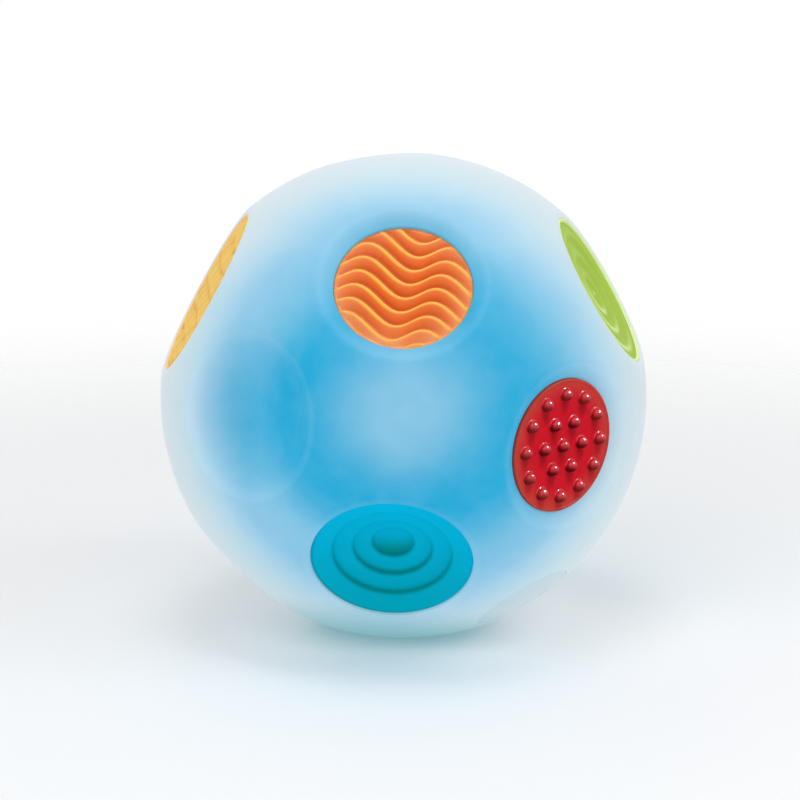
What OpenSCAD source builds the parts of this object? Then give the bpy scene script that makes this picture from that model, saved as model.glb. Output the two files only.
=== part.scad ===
// Light-up sensory ball. A soft milky skin, moulded in one piece, carries dished seats that face every way.
// Some seats are bare bowls to press a finger into. The others hold coloured discs, each with its own touch:
// waves, nubs, steps, facets or rings. A flush round cap sits low on the right.
// A lamp module snaps into the round port at the bottom of the skin.
// It holds the batteries, a slide switch and, at the middle of the ball, a lamp board under a milky dome.
// The origin is the centre of the flat ring that the ball stands on. +Z is up, and the wave disc faces -Y.

/* [Ball] */
// Radius of the round skin
ball_r = 65; // [60:0.5:72]
// Wall of the skin
skin_t = 3; // [2.4:0.1:3.6]
// Width of the flat ring that the ball stands on, round the flange of the module
base_rim_w = 2; // [1.5:0.1:4]

/* [Dished seats] */
// Radius of a seat's mouth, where it breaks through the round of the ball
mouth_r = 21.5; // [20.5:0.1:22]
// Depth of a bowl below the plane of its mouth
bowl_depth = 7; // [5:0.1:8]
// Radius of the soft roll round a mouth
rim_round = 3.5; // [2:0.1:4.5]
// Room round a disc in its pocket
disc_gap = 0.15; // [0.1:0.05:0.3]

/* [Wave disc] */
// Radius of the wave disc
wave_r = 17.6; // [16:0.1:18.5]
// How far its edge lies below the plane of the mouth
wave_sink = 3.1; // [2.6:0.1:4]
// Thickness of the disc
wave_t = 3.4; // [2.5:0.1:4]
// Distance from one wave crest to the next along a ridge
wave_period = 19.6; // [15:0.1:24]
// Swing of a ridge to either side of its mean line
wave_swing = 2.6; // [1:0.1:3.5]
// Distance between neighbouring ridges, measured up the disc
wave_pitch = 4.28; // [3.6:0.01:5.5]
// Sideways step from one ridge to the next
wave_drift = 1.15; // [0:0.01:2]
// Fall of the ridges' mean line to the right, in degrees
wave_fall = 15.4; // [0:0.1:25]
// Height of a ridge above the floor
ridge_h = 1.2; // [0.6:0.1:2]
// Width of a ridge at its foot
ridge_w = 2.1; // [1.4:0.1:3]

/* [Nub disc] */
// Radius of the nub disc
nub_disc_r = 17.4; // [16:0.1:18.5]
// How far its edge lies below the plane of the mouth
nub_sink = 1.7; // [1.2:0.1:3]
// Thickness of the disc at its edge
nub_disc_t = 3.6; // [2.8:0.1:4.5]
// Radius of a nub
nub_r = 1.6; // [1:0.05:2]
// Height of a nub above the sunk floor
nub_h = 2; // [1.8:0.1:3.2]
// Radius of the ring on which the inner nubs stand
nub_ring_r = 6.7; // [5:0.1:7]
// How far the floor lies below the edge band
nub_floor = 0.3; // [0.2:0.1:1]

/* [Step disc] */
// Radius of the step disc
step_disc_r = 20.7; // [19:0.1:20.8]
// How far its edge lies below the plane of the mouth
step_sink = 1.4; // [1:0.1:3]
// Thickness of the disc at its edge
step_disc_t = 9.4; // [8.8:0.1:10]
// Radius of the outer step
step_outer_r = 15.2; // [13:0.1:17]
// Radius of the middle step
step_middle_r = 10.1; // [8:0.1:11.5]
// Radius of the well at the middle
step_well_r = 5.3; // [4:0.1:6.5]
// Fall of the first tread, from the disc's edge in to the outer step
step_dish = 1.6; // [0.6:0.1:2]
// Drop from one step to the next
step_h = 2; // [1:0.1:2.2]
// Rounding of each step's edge and foot
step_round = 0.9; // [0.3:0.1:0.95]

/* [Facet disc] */
// Radius of the facet disc
facet_r = 23.3; // [20:0.1:23.6]
// Radius of the mouth of its seat
facet_mouth_r = 23.9; // [23.8:0.1:25]
// How far its edge lies below the plane of the mouth
facet_sink = 0.6; // [0.4:0.1:2]
// Thickness of the disc at its edge
facet_t = 3.4; // [2.8:0.1:4]
// Number of rings of pyramids round the middle
facet_rings = 3; // [2:1:4]
// Height of a pyramid above the sunk floor
facet_h = 1.4; // [1:0.1:2.5]

/* [Ring disc] */
// Radius of the ring disc
ring_disc_r = 21.6; // [19.5:0.1:21.9]
// Radius of the mouth of its seat
ring_mouth_r = 22.2; // [22:0.1:23]
// How far its edge lies below the plane of the mouth
ring_sink = 0.6; // [0.4:0.1:2]
// Thickness of the disc at its edge
ring_disc_t = 4.6; // [4.2:0.1:5.2]
// How far the middle of its hollow lies below the edge
ring_hollow = 2.4; // [1:0.1:2.6]
// Height of a ring ridge above the hollow
ring_ridge_h = 1.1; // [0.4:0.1:1.5]
// Distance between neighbouring ring ridges
ring_pitch = 5.8; // [4.5:0.1:6.2]

/* [Round cap] */
// Radius of the flush cap low on the right
cap_r = 13.6; // [11:0.1:14.5]
// How far its face lies below the round of the ball
cap_sink = 0.3; // [0.2:0.05:0.5]
// Thickness of the cap at its edge
cap_t = 2.8; // [2:0.1:3.2]

/* [Module housing] */
// Radius of the tube that holds the batteries
tube_r = 13.4; // [13.2:0.05:13.8]
// Wall of that tube
tube_wall = 1.2; // [1:0.05:1.3]
// Width of the neck round the tube, which holds the switch. The lip of the skin grips the neck.
neck_w = 4.1; // [4:0.05:4.6]
// How far the flange that closes the port from outside stands out beyond the neck
flange_rim_w = 2; // [1.6:0.1:2.6]
// Thickness of the flange
flange_t = 2; // [1.8:0.1:2.4]
// How far the flange stays above what the ball stands on
flange_lift = 0.3; // [0.2:0.05:0.5]
// Thickness of the lip of the skin
lip_t = 3; // [2.4:0.1:3.6]
// How far the barb that holds the module in the port stands out beyond the neck
barb_grip_w = 2.8; // [1.5:0.1:3.5]
// Thickness of the barb
barb_t = 2.1; // [1.6:0.1:3]

/* [Batteries] */
// Room between the three cells and the wall of the tube. The cells take the rest of the tube.
cell_room_w = 0.715; // [0.6:0.005:1]
// Length of a battery cell with its button
cell_l = 44.5; // [40:0.1:46]

/* [Battery door] */
// Thickness of the door
door_t = 1.8; // [1.6:0.05:2]
// How far the door laps over the rim of the battery bay
door_lap_w = 1.1; // [0.7:0.05:1.2]
// Radius of the ears that the door screws go through
ear_r = 3; // [2.6:0.05:3.1]
// Distance of a door screw from the battery bay
door_screw_out = 3.2; // [3.1:0.05:3.3]
// Room all round the door
door_gap = 0.2; // [0.1:0.05:0.3]

/* [Slide switch] */
// Length of the switch body, along the way the knob slides
switch_l = 6.4; // [6:0.1:6.6]
// Width of the switch body
switch_w = 2.8; // [2.6:0.05:2.9]
// Height of the switch body
switch_h = 3.4; // [3:0.1:3.8]
// Length of the knob
knob_l = 3.4; // [3:0.1:3.6]
// Width of the knob
knob_w = 2; // [1.6:0.05:2.1]
// Travel of the knob from on to off
switch_travel = 2.4; // [1.6:0.1:2.4]

/* [Lamp board] */
// How far the lamp board stays inside the round of the neck
board_inset = 0.2; // [0.1:0.05:0.4]
// Thickness of the lamp board
board_t = 1.6; // [1:0.1:2]
// How far the milky dome stays inside the round of the tube
dome_inset = 0.8; // [0.6:0.1:1]
// Wall of the dome
dome_wall = 1.2; // [1:0.1:1.3]
// Distance of a board screw from the outside of the tube
board_screw_out = 1.6; // [1.5:0.05:1.7]

/* [Hidden] */

// Overrun that carries a cut clear through what it cuts
over = 1;
// How far a mouth's roll stands proud where it meets the round of the ball, so that the two cross cleanly
rim_lift = 0.05;
// Small air between rigid pieces that are put together
fit_gap = 0.1;
// Air round a screw's shank in its pilot hole, and above the door in its recess
shank_gap = 0.05;
// Rounding of a disc's front edge
disc_edge = 0.5;
// Steps along the arcs of a profile: the skin's hollow, the long arcs and the short ones
hollow_arc = 24;
long_arc = 8;
short_arc = 4;

// Radii in the module, from the battery bay outwards
bay_r = tube_r - tube_wall;
door_r = bay_r + door_lap_w;
neck_r = tube_r + neck_w;
flange_r = neck_r + flange_rim_w;
base_r = flange_r + base_rim_w;
barb_r = neck_r + barb_grip_w;

// Height of the ball's centre above what it stands on
centre_z = sqrt(pow(ball_r, 2) - pow(base_r, 2));

// Faces of the ball: disc held, angle round from the front towards the right, angle up, all in degrees
WAVE_FACE = [0, 39];
NUB_FACE = [43, -4];
STEP_FACE = [-3.4, -32.5];
FACET_FACE = [-85, 29];
RING_FACE = [81, 30];
BACK_NUB_FACE = [-135, 2];
BACK_RING_FACE = [162, 24];
BACK_STEP_FACE = [118, -14];
CAP_FACE = [51, -50.7];
BARE_FACES = [[-40, 4], [-86, -48], [-159, 67], [180, -34]];

// Kinds of seat that hold a disc: mouth radius, disc radius, sink of the disc's edge, disc thickness
WAVE_SEAT = [mouth_r, wave_r, wave_sink, wave_t];
NUB_SEAT = [mouth_r, nub_disc_r, nub_sink, nub_disc_t];
STEP_SEAT = [mouth_r + disc_edge, step_disc_r, step_sink, step_disc_t];
FACET_SEAT = [facet_mouth_r, facet_r, facet_sink, facet_t];
RING_SEAT = [ring_mouth_r, ring_disc_r, ring_sink, ring_disc_t];
SEATS = [
    [WAVE_FACE, WAVE_SEAT], [NUB_FACE, NUB_SEAT], [STEP_FACE, STEP_SEAT],
    [FACET_FACE, FACET_SEAT], [RING_FACE, RING_SEAT], [BACK_NUB_FACE, NUB_SEAT],
    [BACK_RING_FACE, RING_SEAT], [BACK_STEP_FACE, STEP_SEAT]
];

// Distances from the ball's centre, along a face's own axis
function mouth_plane(mouth) = sqrt(pow(ball_r, 2) - pow(mouth, 2));
function disc_plane(seat) = mouth_plane(seat[0]) - seat[2];
function bowl_r(mouth) = (pow(mouth, 2) + pow(bowl_depth, 2)) / (2 * bowl_depth);
function bowl_centre(mouth) = mouth_plane(mouth) - bowl_depth + bowl_r(mouth);

// Heights of the cap's face and of its pocket's floor, at its edge
cap_edge = sqrt(pow(ball_r - cap_sink, 2) - pow(cap_r, 2));
cap_floor = cap_edge - cap_t;

// Heights in the module, from the bottom up
flange_top = flange_lift + flange_t;
lip_top = flange_top + lip_t;
neck_top = lip_top + fit_gap;
barb_top = neck_top + barb_t;
door_z = flange_top - door_t;
contact_t = 0.4;
contact_bump = 1;
cell_z = flange_top + contact_t + contact_bump + fit_gap;
cell_top = cell_z + cell_l;
bay_top = cell_top + fit_gap + contact_bump + contact_t;
bay_roof = 1.6;
tube_top = bay_top + bay_roof;
board_top = tube_top + board_t;

// Battery cells: three upright in a triangle, which fill the bay but for the room round them
cell_gap = 0.3;
cell_turn = 120;
cell_circle_share = 1 / sin(cell_turn / 2);
cell_r = (bay_r - cell_room_w - cell_circle_share * cell_gap / 2) / (1 + cell_circle_share);
cell_circle_r = cell_circle_share * (cell_r + cell_gap / 2);
cell_button_r = 1.9;
cell_button_h = 1;

// Screws
door_screw_at = bay_r + door_screw_out;
board_screw_at = tube_r + board_screw_out;
shank_r = 0.9;
head_r = 1.9;
head_t = 1;
pilot_r = shank_r + shank_gap;
head_room = 0.2;
cross_l = 2.4;
cross_w = 0.5;
cross_deep = 0.5;
door_shank_l = 5;
board_shank_l = 7.5;
boss_r = 2.2;
boss_l = board_shank_l;

// Switch, in the neck to the right of the door
switch_wall = 0.4;
switch_floor = 0.3;
switch_x = door_r + door_gap + switch_wall + switch_w / 2;
switch_z = flange_top + switch_floor;
stem_w = 1;
stem_l = 1.6;
stem_h = 1.4;
knob_groove = 0.25;
lead_r = 0.5;
lead_side = 1.5;
comb_w = 6;
comb_l = 3.4;
comb_t = 2;

// Lamps and parts on the board, and the dome over them
board_r = neck_r - board_inset;
dome_r = tube_r - dome_inset;
dome_flange_t = 1.4;
dome_straight = 3;
lamp_w = 5;
lamp_d = 2.5;
lamp_h = 4.5;
lens_r = 1.6;
lamp_room = 0.8;
lamp_at = dome_r - dome_wall - lamp_room - lens_r - lamp_d;
motion_r = 2;
motion_h = 7;
motion_at = lamp_at;
chip_gap = 1.5;
chip_w = 2 * (motion_at - motion_r - chip_gap);
chip_h = 1.2;

// Turns what is drawn at the ball's centre onto a face. +Z points outwards.
// Seen from outside, +X is to the right and +Y is up.
module on_face(face) {
    translate([0, 0, centre_z])
        rotate([0, 90 - face[1], face[0] - 90])
            rotate([0, 0, 90])
                children();
}

// Points on an arc, from one angle to another
function arc(x, z, r, from, to, steps) =
    [for (i = [0:steps]) let (a = from + (to - from) * i / steps) [x + r * cos(a), z + r * sin(a)]];

// Half section of a dished cut: a round bowl that rolls softly over into the round of the ball
function dish_section(mouth) =
    let (
        bowl = bowl_r(mouth),
        bowl_z = bowl_centre(mouth),
        reach = ball_r - rim_round + rim_lift,
        roll_z = (pow(reach, 2) - pow(bowl + rim_round, 2) + pow(bowl_z, 2)) / (2 * bowl_z),
        roll_x = sqrt(pow(reach, 2) - pow(roll_z, 2)),
        inner = atan2(bowl_z - roll_z, -roll_x),
        outer = atan2(roll_z, roll_x),
        bowl_end = inner - 180
    )
    concat(
        arc(0, bowl_z, bowl, -90, bowl_end, long_arc),
        [for (p = [1:short_arc]) arc(roll_x, roll_z, rim_round, inner, outer, short_arc)[p]],
        [[roll_x + rim_round * cos(outer), ball_r + over], [0, ball_r + over]]
    );

module dish_cut(mouth) {
    rotate_extrude($fn = 96)
        polygon(dish_section(mouth));
}

// Round pocket that a disc sits in
module disc_pocket(seat) {
    translate([0, 0, disc_plane(seat) - seat[3]])
        cylinder(r = seat[1] + disc_gap, h = ball_r, $fn = 96);
}

// Back of a bowl, as seen from inside the skin: the bowl's own round, one wall further in
module bowl_back(mouth) {
    back_r = bowl_r(mouth) + skin_t;
    half_turn = asin((mouth + skin_t) / back_r);
    rotate_extrude($fn = 96)
        polygon(concat(
            arc(0, bowl_centre(mouth), back_r, -90, half_turn - 90, long_arc),
            [[mouth + skin_t, ball_r + over], [0, ball_r + over]]
        ));
}

// Inside of the skin: a round hollow above the lip, with the wall carried on behind every bowl and pocket
module skin_hollow() {
    hollow_r = ball_r - skin_t;
    floor_z = lip_top - centre_z;
    start = asin(floor_z / hollow_r);
    difference() {
        translate([0, 0, centre_z])
            rotate_extrude($fn = 128)
                polygon(concat([[0, floor_z]], arc(0, 0, hollow_r, start, 90, hollow_arc)));
        for (face = BARE_FACES)
            on_face(face) bowl_back(mouth_r);
        for (s = SEATS)
            on_face(s[0]) {
                bowl_back(s[1][0]);
                translate([0, 0, disc_plane(s[1]) - s[1][3] - skin_t])
                    cylinder(r = s[1][1] + disc_gap + skin_t, h = ball_r, $fn = 96);
            }
        on_face(CAP_FACE) cap_pocket(skin_t);
    }
}

// Pocket of the round cap, from its floor out through the skin, or from one wall behind that
module cap_pocket(wall) {
    translate([0, 0, cap_floor - wall])
        cylinder(r = cap_r + disc_gap + wall, h = ball_r, $fn = 96);
}

module ball_skin() {
    color([0.78, 0.90, 0.96])
        difference() {
            translate([0, 0, centre_z]) sphere(r = ball_r, $fn = 128);
            translate([-ball_r, -ball_r, -2 * ball_r]) cube([2 * ball_r, 2 * ball_r, 2 * ball_r]);
            for (face = BARE_FACES)
                on_face(face) dish_cut(mouth_r);
            for (s = SEATS)
                on_face(s[0]) {
                    dish_cut(s[1][0]);
                    disc_pocket(s[1]);
                }
            on_face(CAP_FACE) cap_pocket(0);
            skin_hollow();
            translate([0, 0, -over]) cylinder(r = flange_r + door_gap, h = flange_top + over, $fn = 96);
            cylinder(r = neck_r + fit_gap, h = lip_top + over, $fn = 96);
        }
}

// Half section of a plain disc whose front edge is rounded, with its front face lowered inside the edge band
function disc_section(r, t, band, sunk) =
    concat(
        [[0, -t], [r, -t]],
        arc(r - disc_edge, -disc_edge, disc_edge, 0, 90, short_arc),
        [[r - band, 0], [r - band - sunk, -sunk], [0, -sunk]]
    );

// Ridges of the wave disc. Each follows a sine that falls to the right, and stops at the disc's edge band.
wave_first = -6;
wave_last = 3;
wave_mid_u = -9.2;
wave_mid_v = 3.8;
wave_steps = 26;
wave_floor = 0.3;
wave_edge = 0.55;
search_steps = 20;
halvings = 12;
end_height_share = 0.35;
RIDGE_SHARES = [[-0.5, -0.3], [-0.36, 0.3], [-0.2, 0.82], [0, 1], [0.2, 0.82], [0.36, 0.3], [0.5, -0.3]];

// Place of ridge n at the distance u to the right of the disc's centre
function ridge_v(n, u) =
    wave_mid_v + n * wave_pitch - tan(wave_fall) * u
    + wave_swing * cos(360 * (u - wave_mid_u - n * wave_drift) / wave_period);
function ridge_slope(n, u) =
    -tan(wave_fall)
    - wave_swing * 2 * PI / wave_period * sin(360 * (u - wave_mid_u - n * wave_drift) / wave_period);
function ridge_inside(n, u) = norm([u, ridge_v(n, u)]) < wave_r - wave_edge - ridge_w / 2;
// Where ridge n leaves the disc, between a place on it and a place off it, found by halving
function ridge_end(n, on, off, left) =
    left == 0 ? on
    : let (middle = (on + off) / 2)
      ridge_inside(n, middle) ? ridge_end(n, middle, off, left - 1) : ridge_end(n, on, middle, left - 1);
// Places on ridge n that lie inside the disc, from left to right
function ridge_places(n) =
    [for (i = [-search_steps:search_steps]) let (u = wave_r * i / search_steps) if (ridge_inside(n, u)) u];

module wave_ridge(n) {
    places = ridge_places(n);
    if (len(places) > 3) {
        last = places[len(places) - 1];
        reach = 2 * wave_r / search_steps;
        from = ridge_end(n, places[0], places[0] - reach, halvings);
        to = ridge_end(n, last, last + reach, halvings);
        sides = len(RIDGE_SHARES);
        points = [
            for (i = [0:wave_steps])
                let (
                    u = from + (to - from) * i / wave_steps,
                    slope = ridge_slope(n, u),
                    across = [-slope, 1] / norm([-slope, 1]),
                    fade = min(1, end_height_share + min(i, wave_steps - i) / 2)
                )
                for (s = RIDGE_SHARES)
                    [
                        u + across[0] * s[0] * ridge_w,
                        ridge_v(n, u) + across[1] * s[0] * ridge_w,
                        -wave_floor + (s[1] > 0 ? fade : 1) * s[1] * ridge_h
                    ]
        ];
        faces = concat(
            [[for (k = [0:sides - 1]) sides - 1 - k]],
            [[for (k = [0:sides - 1]) wave_steps * sides + k]],
            [
                for (i = [0:wave_steps - 1]) for (k = [0:sides - 1]) for (half = [0, 1])
                    let (
                        a = i * sides + k,
                        b = i * sides + (k + 1) % sides
                    )
                    half == 0 ? [a, b + sides, a + sides] : [a, b, b + sides]
            ]
        );
        polyhedron(points, faces);
    }
}

module wave_disc() {
    color([0.93, 0.49, 0.14]) {
        rotate_extrude($fn = 96) polygon(disc_section(wave_r, wave_t, wave_edge, wave_floor));
        for (n = [wave_first:wave_last]) wave_ridge(n);
    }
}

// Nubs: one at the middle, six round it and twelve round those, each a short post with a round tip
nub_band = 0.6;
module nub_at(r, a) {
    rotate([0, 0, a]) translate([r, 0, 0]) {
        translate([0, 0, -nub_floor - disc_edge])
            cylinder(r = nub_r, h = nub_h - nub_r + disc_edge, $fn = 32);
        translate([0, 0, nub_h - nub_r - nub_floor])
            sphere(r = nub_r, $fn = 32);
    }
}

module nub_disc() {
    color([0.76, 0.10, 0.16]) {
        rotate_extrude($fn = 96) polygon(disc_section(nub_disc_r, nub_disc_t, nub_band, nub_floor));
        nub_at(0, 0);
        for (i = [0:5]) nub_at(nub_ring_r, i * 60);
        for (i = [0:11]) nub_at(2 * nub_ring_r, i * 30);
    }
}

// A tread that falls inwards, then steps down to a round well, each with a rounded edge and a rounded foot
function tread(k) = -step_dish - k * step_h;
function step_section() =
    let (radii = [step_outer_r, step_middle_r, step_well_r])
    concat(
        [[0, -step_disc_t], [step_disc_r, -step_disc_t]],
        arc(step_disc_r - disc_edge, -disc_edge, disc_edge, 0, 90, short_arc),
        [
            for (k = [0:2]) for (p = concat(
                arc(radii[k] + step_round, tread(k) - step_round, step_round, 90, 180, short_arc),
                arc(radii[k] - step_round, tread(k + 1) + step_round, step_round, 0, -90, short_arc)
            )) p
        ],
        [[0, tread(len(radii))]]
    );

module step_disc() {
    color([0.0, 0.64, 0.76])
        rotate_extrude($fn = 96) polygon(step_section());
}

// Low three-sided pyramids, edge to edge. Their corners lie on rings of 6, 12 and 18 points round the middle.
facet_band = 0.8;
facet_floor = 1;
facet_valley = 0.15;
facet_foot = 0.5;
function ring_start(k) = k == 0 ? 0 : 1 + 3 * k * (k - 1);
function ring_index(k, j) = k == 0 ? 0 : ring_start(k) + j % (6 * k);
FACET_CORNERS = [
    [0, 0],
    for (k = [1:facet_rings]) for (j = [0:6 * k - 1])
        let (r = (facet_r - facet_band) * k / facet_rings, a = 60 * j / k)
            [r * cos(a), r * sin(a)]
];
FACET_TRIANGLES = [
    for (k = [1:facet_rings]) for (sector = [0:5]) each [
        for (i = [0:k - 1])
            [
                ring_index(k, sector * k + i),
                ring_index(k, sector * k + i + 1),
                ring_index(k - 1, sector * (k - 1) + i)
            ],
        if (k > 1) for (i = [0:k - 2])
            [
                ring_index(k - 1, sector * (k - 1) + i),
                ring_index(k, sector * k + i + 1),
                ring_index(k - 1, sector * (k - 1) + i + 1)
            ]
    ]
];

module facet_field() {
    corners = len(FACET_CORNERS);
    tips = len(FACET_TRIANGLES);
    outer = 6 * facet_rings;
    outer_start = ring_start(facet_rings);
    foot_start = corners + tips;
    points = concat(
        [for (c = FACET_CORNERS) [c[0], c[1], facet_valley - facet_floor]],
        [
            for (t = FACET_TRIANGLES)
                let (m = (FACET_CORNERS[t[0]] + FACET_CORNERS[t[1]] + FACET_CORNERS[t[2]]) / 3)
                    [m[0], m[1], facet_h - facet_floor]
        ],
        [
            for (j = [0:outer - 1])
                let (c = FACET_CORNERS[outer_start + j])
                    [c[0], c[1], -facet_floor - facet_foot]
        ]
    );
    faces = concat(
        [
            for (t = [0:tips - 1]) for (k = [0:2])
                [FACET_TRIANGLES[t][(k + 1) % 3], FACET_TRIANGLES[t][k], corners + t]
        ],
        [
            for (j = [0:outer - 1]) for (half = [0, 1])
                let (n = (j + 1) % outer)
                half == 0
                    ? [outer_start + j, outer_start + n, foot_start + n]
                    : [outer_start + j, foot_start + n, foot_start + j]
        ],
        [[for (j = [0:outer - 1]) foot_start + j]]
    );
    polyhedron(points, faces);
}

module facet_disc() {
    color([0.93, 0.78, 0.42]) {
        rotate_extrude($fn = 96) polygon(disc_section(facet_r, facet_t, facet_band / 2, facet_floor));
        facet_field();
    }
}

// Round ridges on a shallow hollow, inside a thin raised edge
ring_band = 1;
ring_steps = 42;
function ring_level(x) =
    let (
        share = x / (ring_disc_r - ring_band),
        ridge = ring_ridge_h * pow(cos(180 * x / ring_pitch), 2)
    )
    ridge * (1 - pow(share, 8)) - ring_hollow * (1 - pow(share, 2));
module ring_disc() {
    hollow_r = ring_disc_r - ring_band;
    color([0.72, 0.83, 0.35])
        rotate_extrude($fn = 96)
            polygon(concat(
                [[0, -ring_disc_t], [ring_disc_r, -ring_disc_t]],
                arc(ring_disc_r - disc_edge, -disc_edge, disc_edge, 0, 180, 2 * short_arc),
                [
                    for (i = [ring_steps:-1:0])
                        let (x = hollow_r * i / ring_steps)
                            [x, ring_level(x) - disc_edge]
                ]
            ));
}

// Flush cap whose face follows the round of the ball
module round_cap() {
    face_r = ball_r - cap_sink;
    color([0.78, 0.88, 0.92])
        on_face(CAP_FACE)
            rotate_extrude($fn = 96)
                polygon(concat(
                    [[0, cap_floor], [cap_r, cap_floor]],
                    arc(cap_r - disc_edge, cap_edge - disc_edge, disc_edge, 0, 60, short_arc),
                    arc(0, 0, face_r, acos((cap_r - disc_edge) / face_r), 90, long_arc)
                ));
}

module wave_insert() { on_face(WAVE_FACE) translate([0, 0, disc_plane(WAVE_SEAT)]) wave_disc(); }
module nub_insert() { on_face(NUB_FACE) translate([0, 0, disc_plane(NUB_SEAT)]) nub_disc(); }
module step_insert() { on_face(STEP_FACE) translate([0, 0, disc_plane(STEP_SEAT)]) step_disc(); }
module facet_insert() { on_face(FACET_FACE) translate([0, 0, disc_plane(FACET_SEAT)]) facet_disc(); }
module ring_insert() { on_face(RING_FACE) translate([0, 0, disc_plane(RING_SEAT)]) ring_disc(); }
module back_nub_insert() { on_face(BACK_NUB_FACE) translate([0, 0, disc_plane(NUB_SEAT)]) nub_disc(); }
module back_ring_insert() { on_face(BACK_RING_FACE) translate([0, 0, disc_plane(RING_SEAT)]) ring_disc(); }
module back_step_insert() { on_face(BACK_STEP_FACE) translate([0, 0, disc_plane(STEP_SEAT)]) step_disc(); }

// Outline of the door, or of the recess that it lies in when grown by the room round it
module door_outline(grow) {
    circle(r = door_r + grow, $fn = 96);
    for (side = [-1, 1])
        translate([0, side * door_screw_at]) circle(r = ear_r + grow, $fn = 48);
}

module base_cup() {
    color([0.90, 0.93, 0.95])
        difference() {
            union() {
                translate([0, 0, flange_lift]) cylinder(r = flange_r, h = flange_t, $fn = 96);
                translate([0, 0, flange_top]) cylinder(r = neck_r, h = neck_top - flange_top, $fn = 96);
                translate([0, 0, neck_top]) cylinder(r1 = barb_r, r2 = neck_r, h = barb_t, $fn = 96);
                translate([0, 0, barb_top]) cylinder(r = tube_r, h = tube_top - barb_top, $fn = 96);
                for (side = [-1, 1])
                    translate([0, side * board_screw_at, tube_top - boss_l])
                        cylinder(r = boss_r, h = boss_l, $fn = 32);
                translate([tube_r - tube_wall / 2, -comb_w / 2, (barb_top + tube_top) / 2])
                    cube([comb_l, comb_w, comb_t]);
            }
            translate([0, 0, flange_top]) cylinder(r = bay_r, h = bay_top - flange_top, $fn = 96);
            translate([0, 0, flange_lift - over])
                linear_extrude(height = flange_t + over + shank_gap) door_outline(door_gap);
            for (side = [-1, 1]) {
                translate([0, side * door_screw_at, flange_top])
                    cylinder(r = pilot_r, h = door_shank_l - door_t + head_t + head_room, $fn = 24);
                translate([0, side * board_screw_at, tube_top - board_shank_l + dome_flange_t])
                    cylinder(r = pilot_r, h = board_shank_l, $fn = 24);
                translate([switch_x, side * lead_side, barb_top])
                    cylinder(r = lead_r + head_room, h = tube_top - barb_top, $fn = 24);
                translate([side * cell_button_r, 0, bay_top - over])
                    cylinder(r = lead_r + head_room, h = bay_roof + 2 * over, $fn = 24);
            }
            translate([switch_x - switch_w / 2 - fit_gap, -switch_l / 2 - fit_gap, switch_z])
                cube([switch_w + 2 * fit_gap, switch_l + 2 * fit_gap, barb_top]);
            translate([switch_x - knob_w / 2 - fit_gap, -(knob_l + switch_travel) / 2 - fit_gap, 0])
                cube([knob_w + 2 * fit_gap, knob_l + switch_travel + 2 * fit_gap, switch_z + over]);
        }
}

// Door: a round cover with two ears. A ring inside, as high as the contact, guides it into the bay.
spigot_h = contact_t + contact_bump;
spigot_wall = 1.1;
grip_r = 6;
grip_w = 1.2;
grip_deep = 0.4;
module battery_door() {
    color([0.84, 0.88, 0.91])
        difference() {
            union() {
                translate([0, 0, door_z]) linear_extrude(height = door_t) door_outline(0);
                translate([0, 0, flange_top]) cylinder(r = bay_r - door_gap, h = spigot_h, $fn = 96);
            }
            translate([0, 0, flange_top])
                cylinder(r = bay_r - door_gap - spigot_wall, h = spigot_h + over, $fn = 96);
            for (side = [-1, 1])
                translate([0, side * door_screw_at, 0]) {
                    cylinder(r = head_r + head_room, h = door_z + head_t + fit_gap, $fn = 32);
                    cylinder(r = shank_r + head_room, h = flange_top + over, $fn = 24);
                }
            for (k = [-2:2])
                translate([-grip_r, k * 2 * grip_w - grip_w / 2, 0])
                    cube([2 * grip_r, grip_w, door_z + grip_deep]);
        }
}

// Thin contact plate with a round bump under each cell
module contact_plate(r, bump_z) {
    cylinder(r = r, h = contact_t, $fn = 96);
    for (k = [0:2])
        rotate([0, 0, k * cell_turn + 90])
            translate([cell_circle_r, 0, bump_z])
                cylinder(r = 2 * cell_button_r, h = contact_bump, $fn = 32);
}

module door_contact() {
    color([0.80, 0.78, 0.70])
        translate([0, 0, flange_top])
            contact_plate(bay_r - door_gap - spigot_wall - fit_gap, contact_t);
}

module top_contact() {
    color([0.80, 0.78, 0.70]) {
        translate([0, 0, bay_top - contact_t]) contact_plate(bay_r - fit_gap, -contact_bump);
        for (side = [-1, 1])
            translate([side * cell_button_r, 0, bay_top]) cylinder(r = lead_r, h = bay_roof, $fn = 24);
    }
}

module battery_cell(k) {
    // Every other cell stands on its head
    flip = k % 2;
    color([0.25, 0.45, 0.35])
        rotate([0, 0, k * cell_turn + 90])
            translate([cell_circle_r, 0, cell_z]) {
                translate([0, 0, flip * cell_button_h])
                    cylinder(r = cell_r, h = cell_l - cell_button_h, $fn = 48);
                translate([0, 0, flip == 1 ? 0 : cell_l - cell_button_h])
                    cylinder(r = cell_button_r, h = cell_button_h, $fn = 32);
            }
}

// Pan-head screw, standing on its head at the origin, with a cross recess
module screw(length) {
    difference() {
        cylinder(r = head_r, h = head_t, $fn = 32);
        for (a = [0, 90])
            rotate([0, 0, a]) translate([-cross_l / 2, -cross_w / 2, -over])
                cube([cross_l, cross_w, over + cross_deep]);
    }
    translate([0, 0, head_t]) cylinder(r = shank_r, h = length - head_t, $fn = 24);
}

module door_screw(side) {
    color([0.70, 0.71, 0.73])
        translate([0, side * door_screw_at, door_z + shank_gap]) screw(door_shank_l + head_t);
}

module door_screw_front() { door_screw(-1); }
module door_screw_back() { door_screw(1); }

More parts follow.
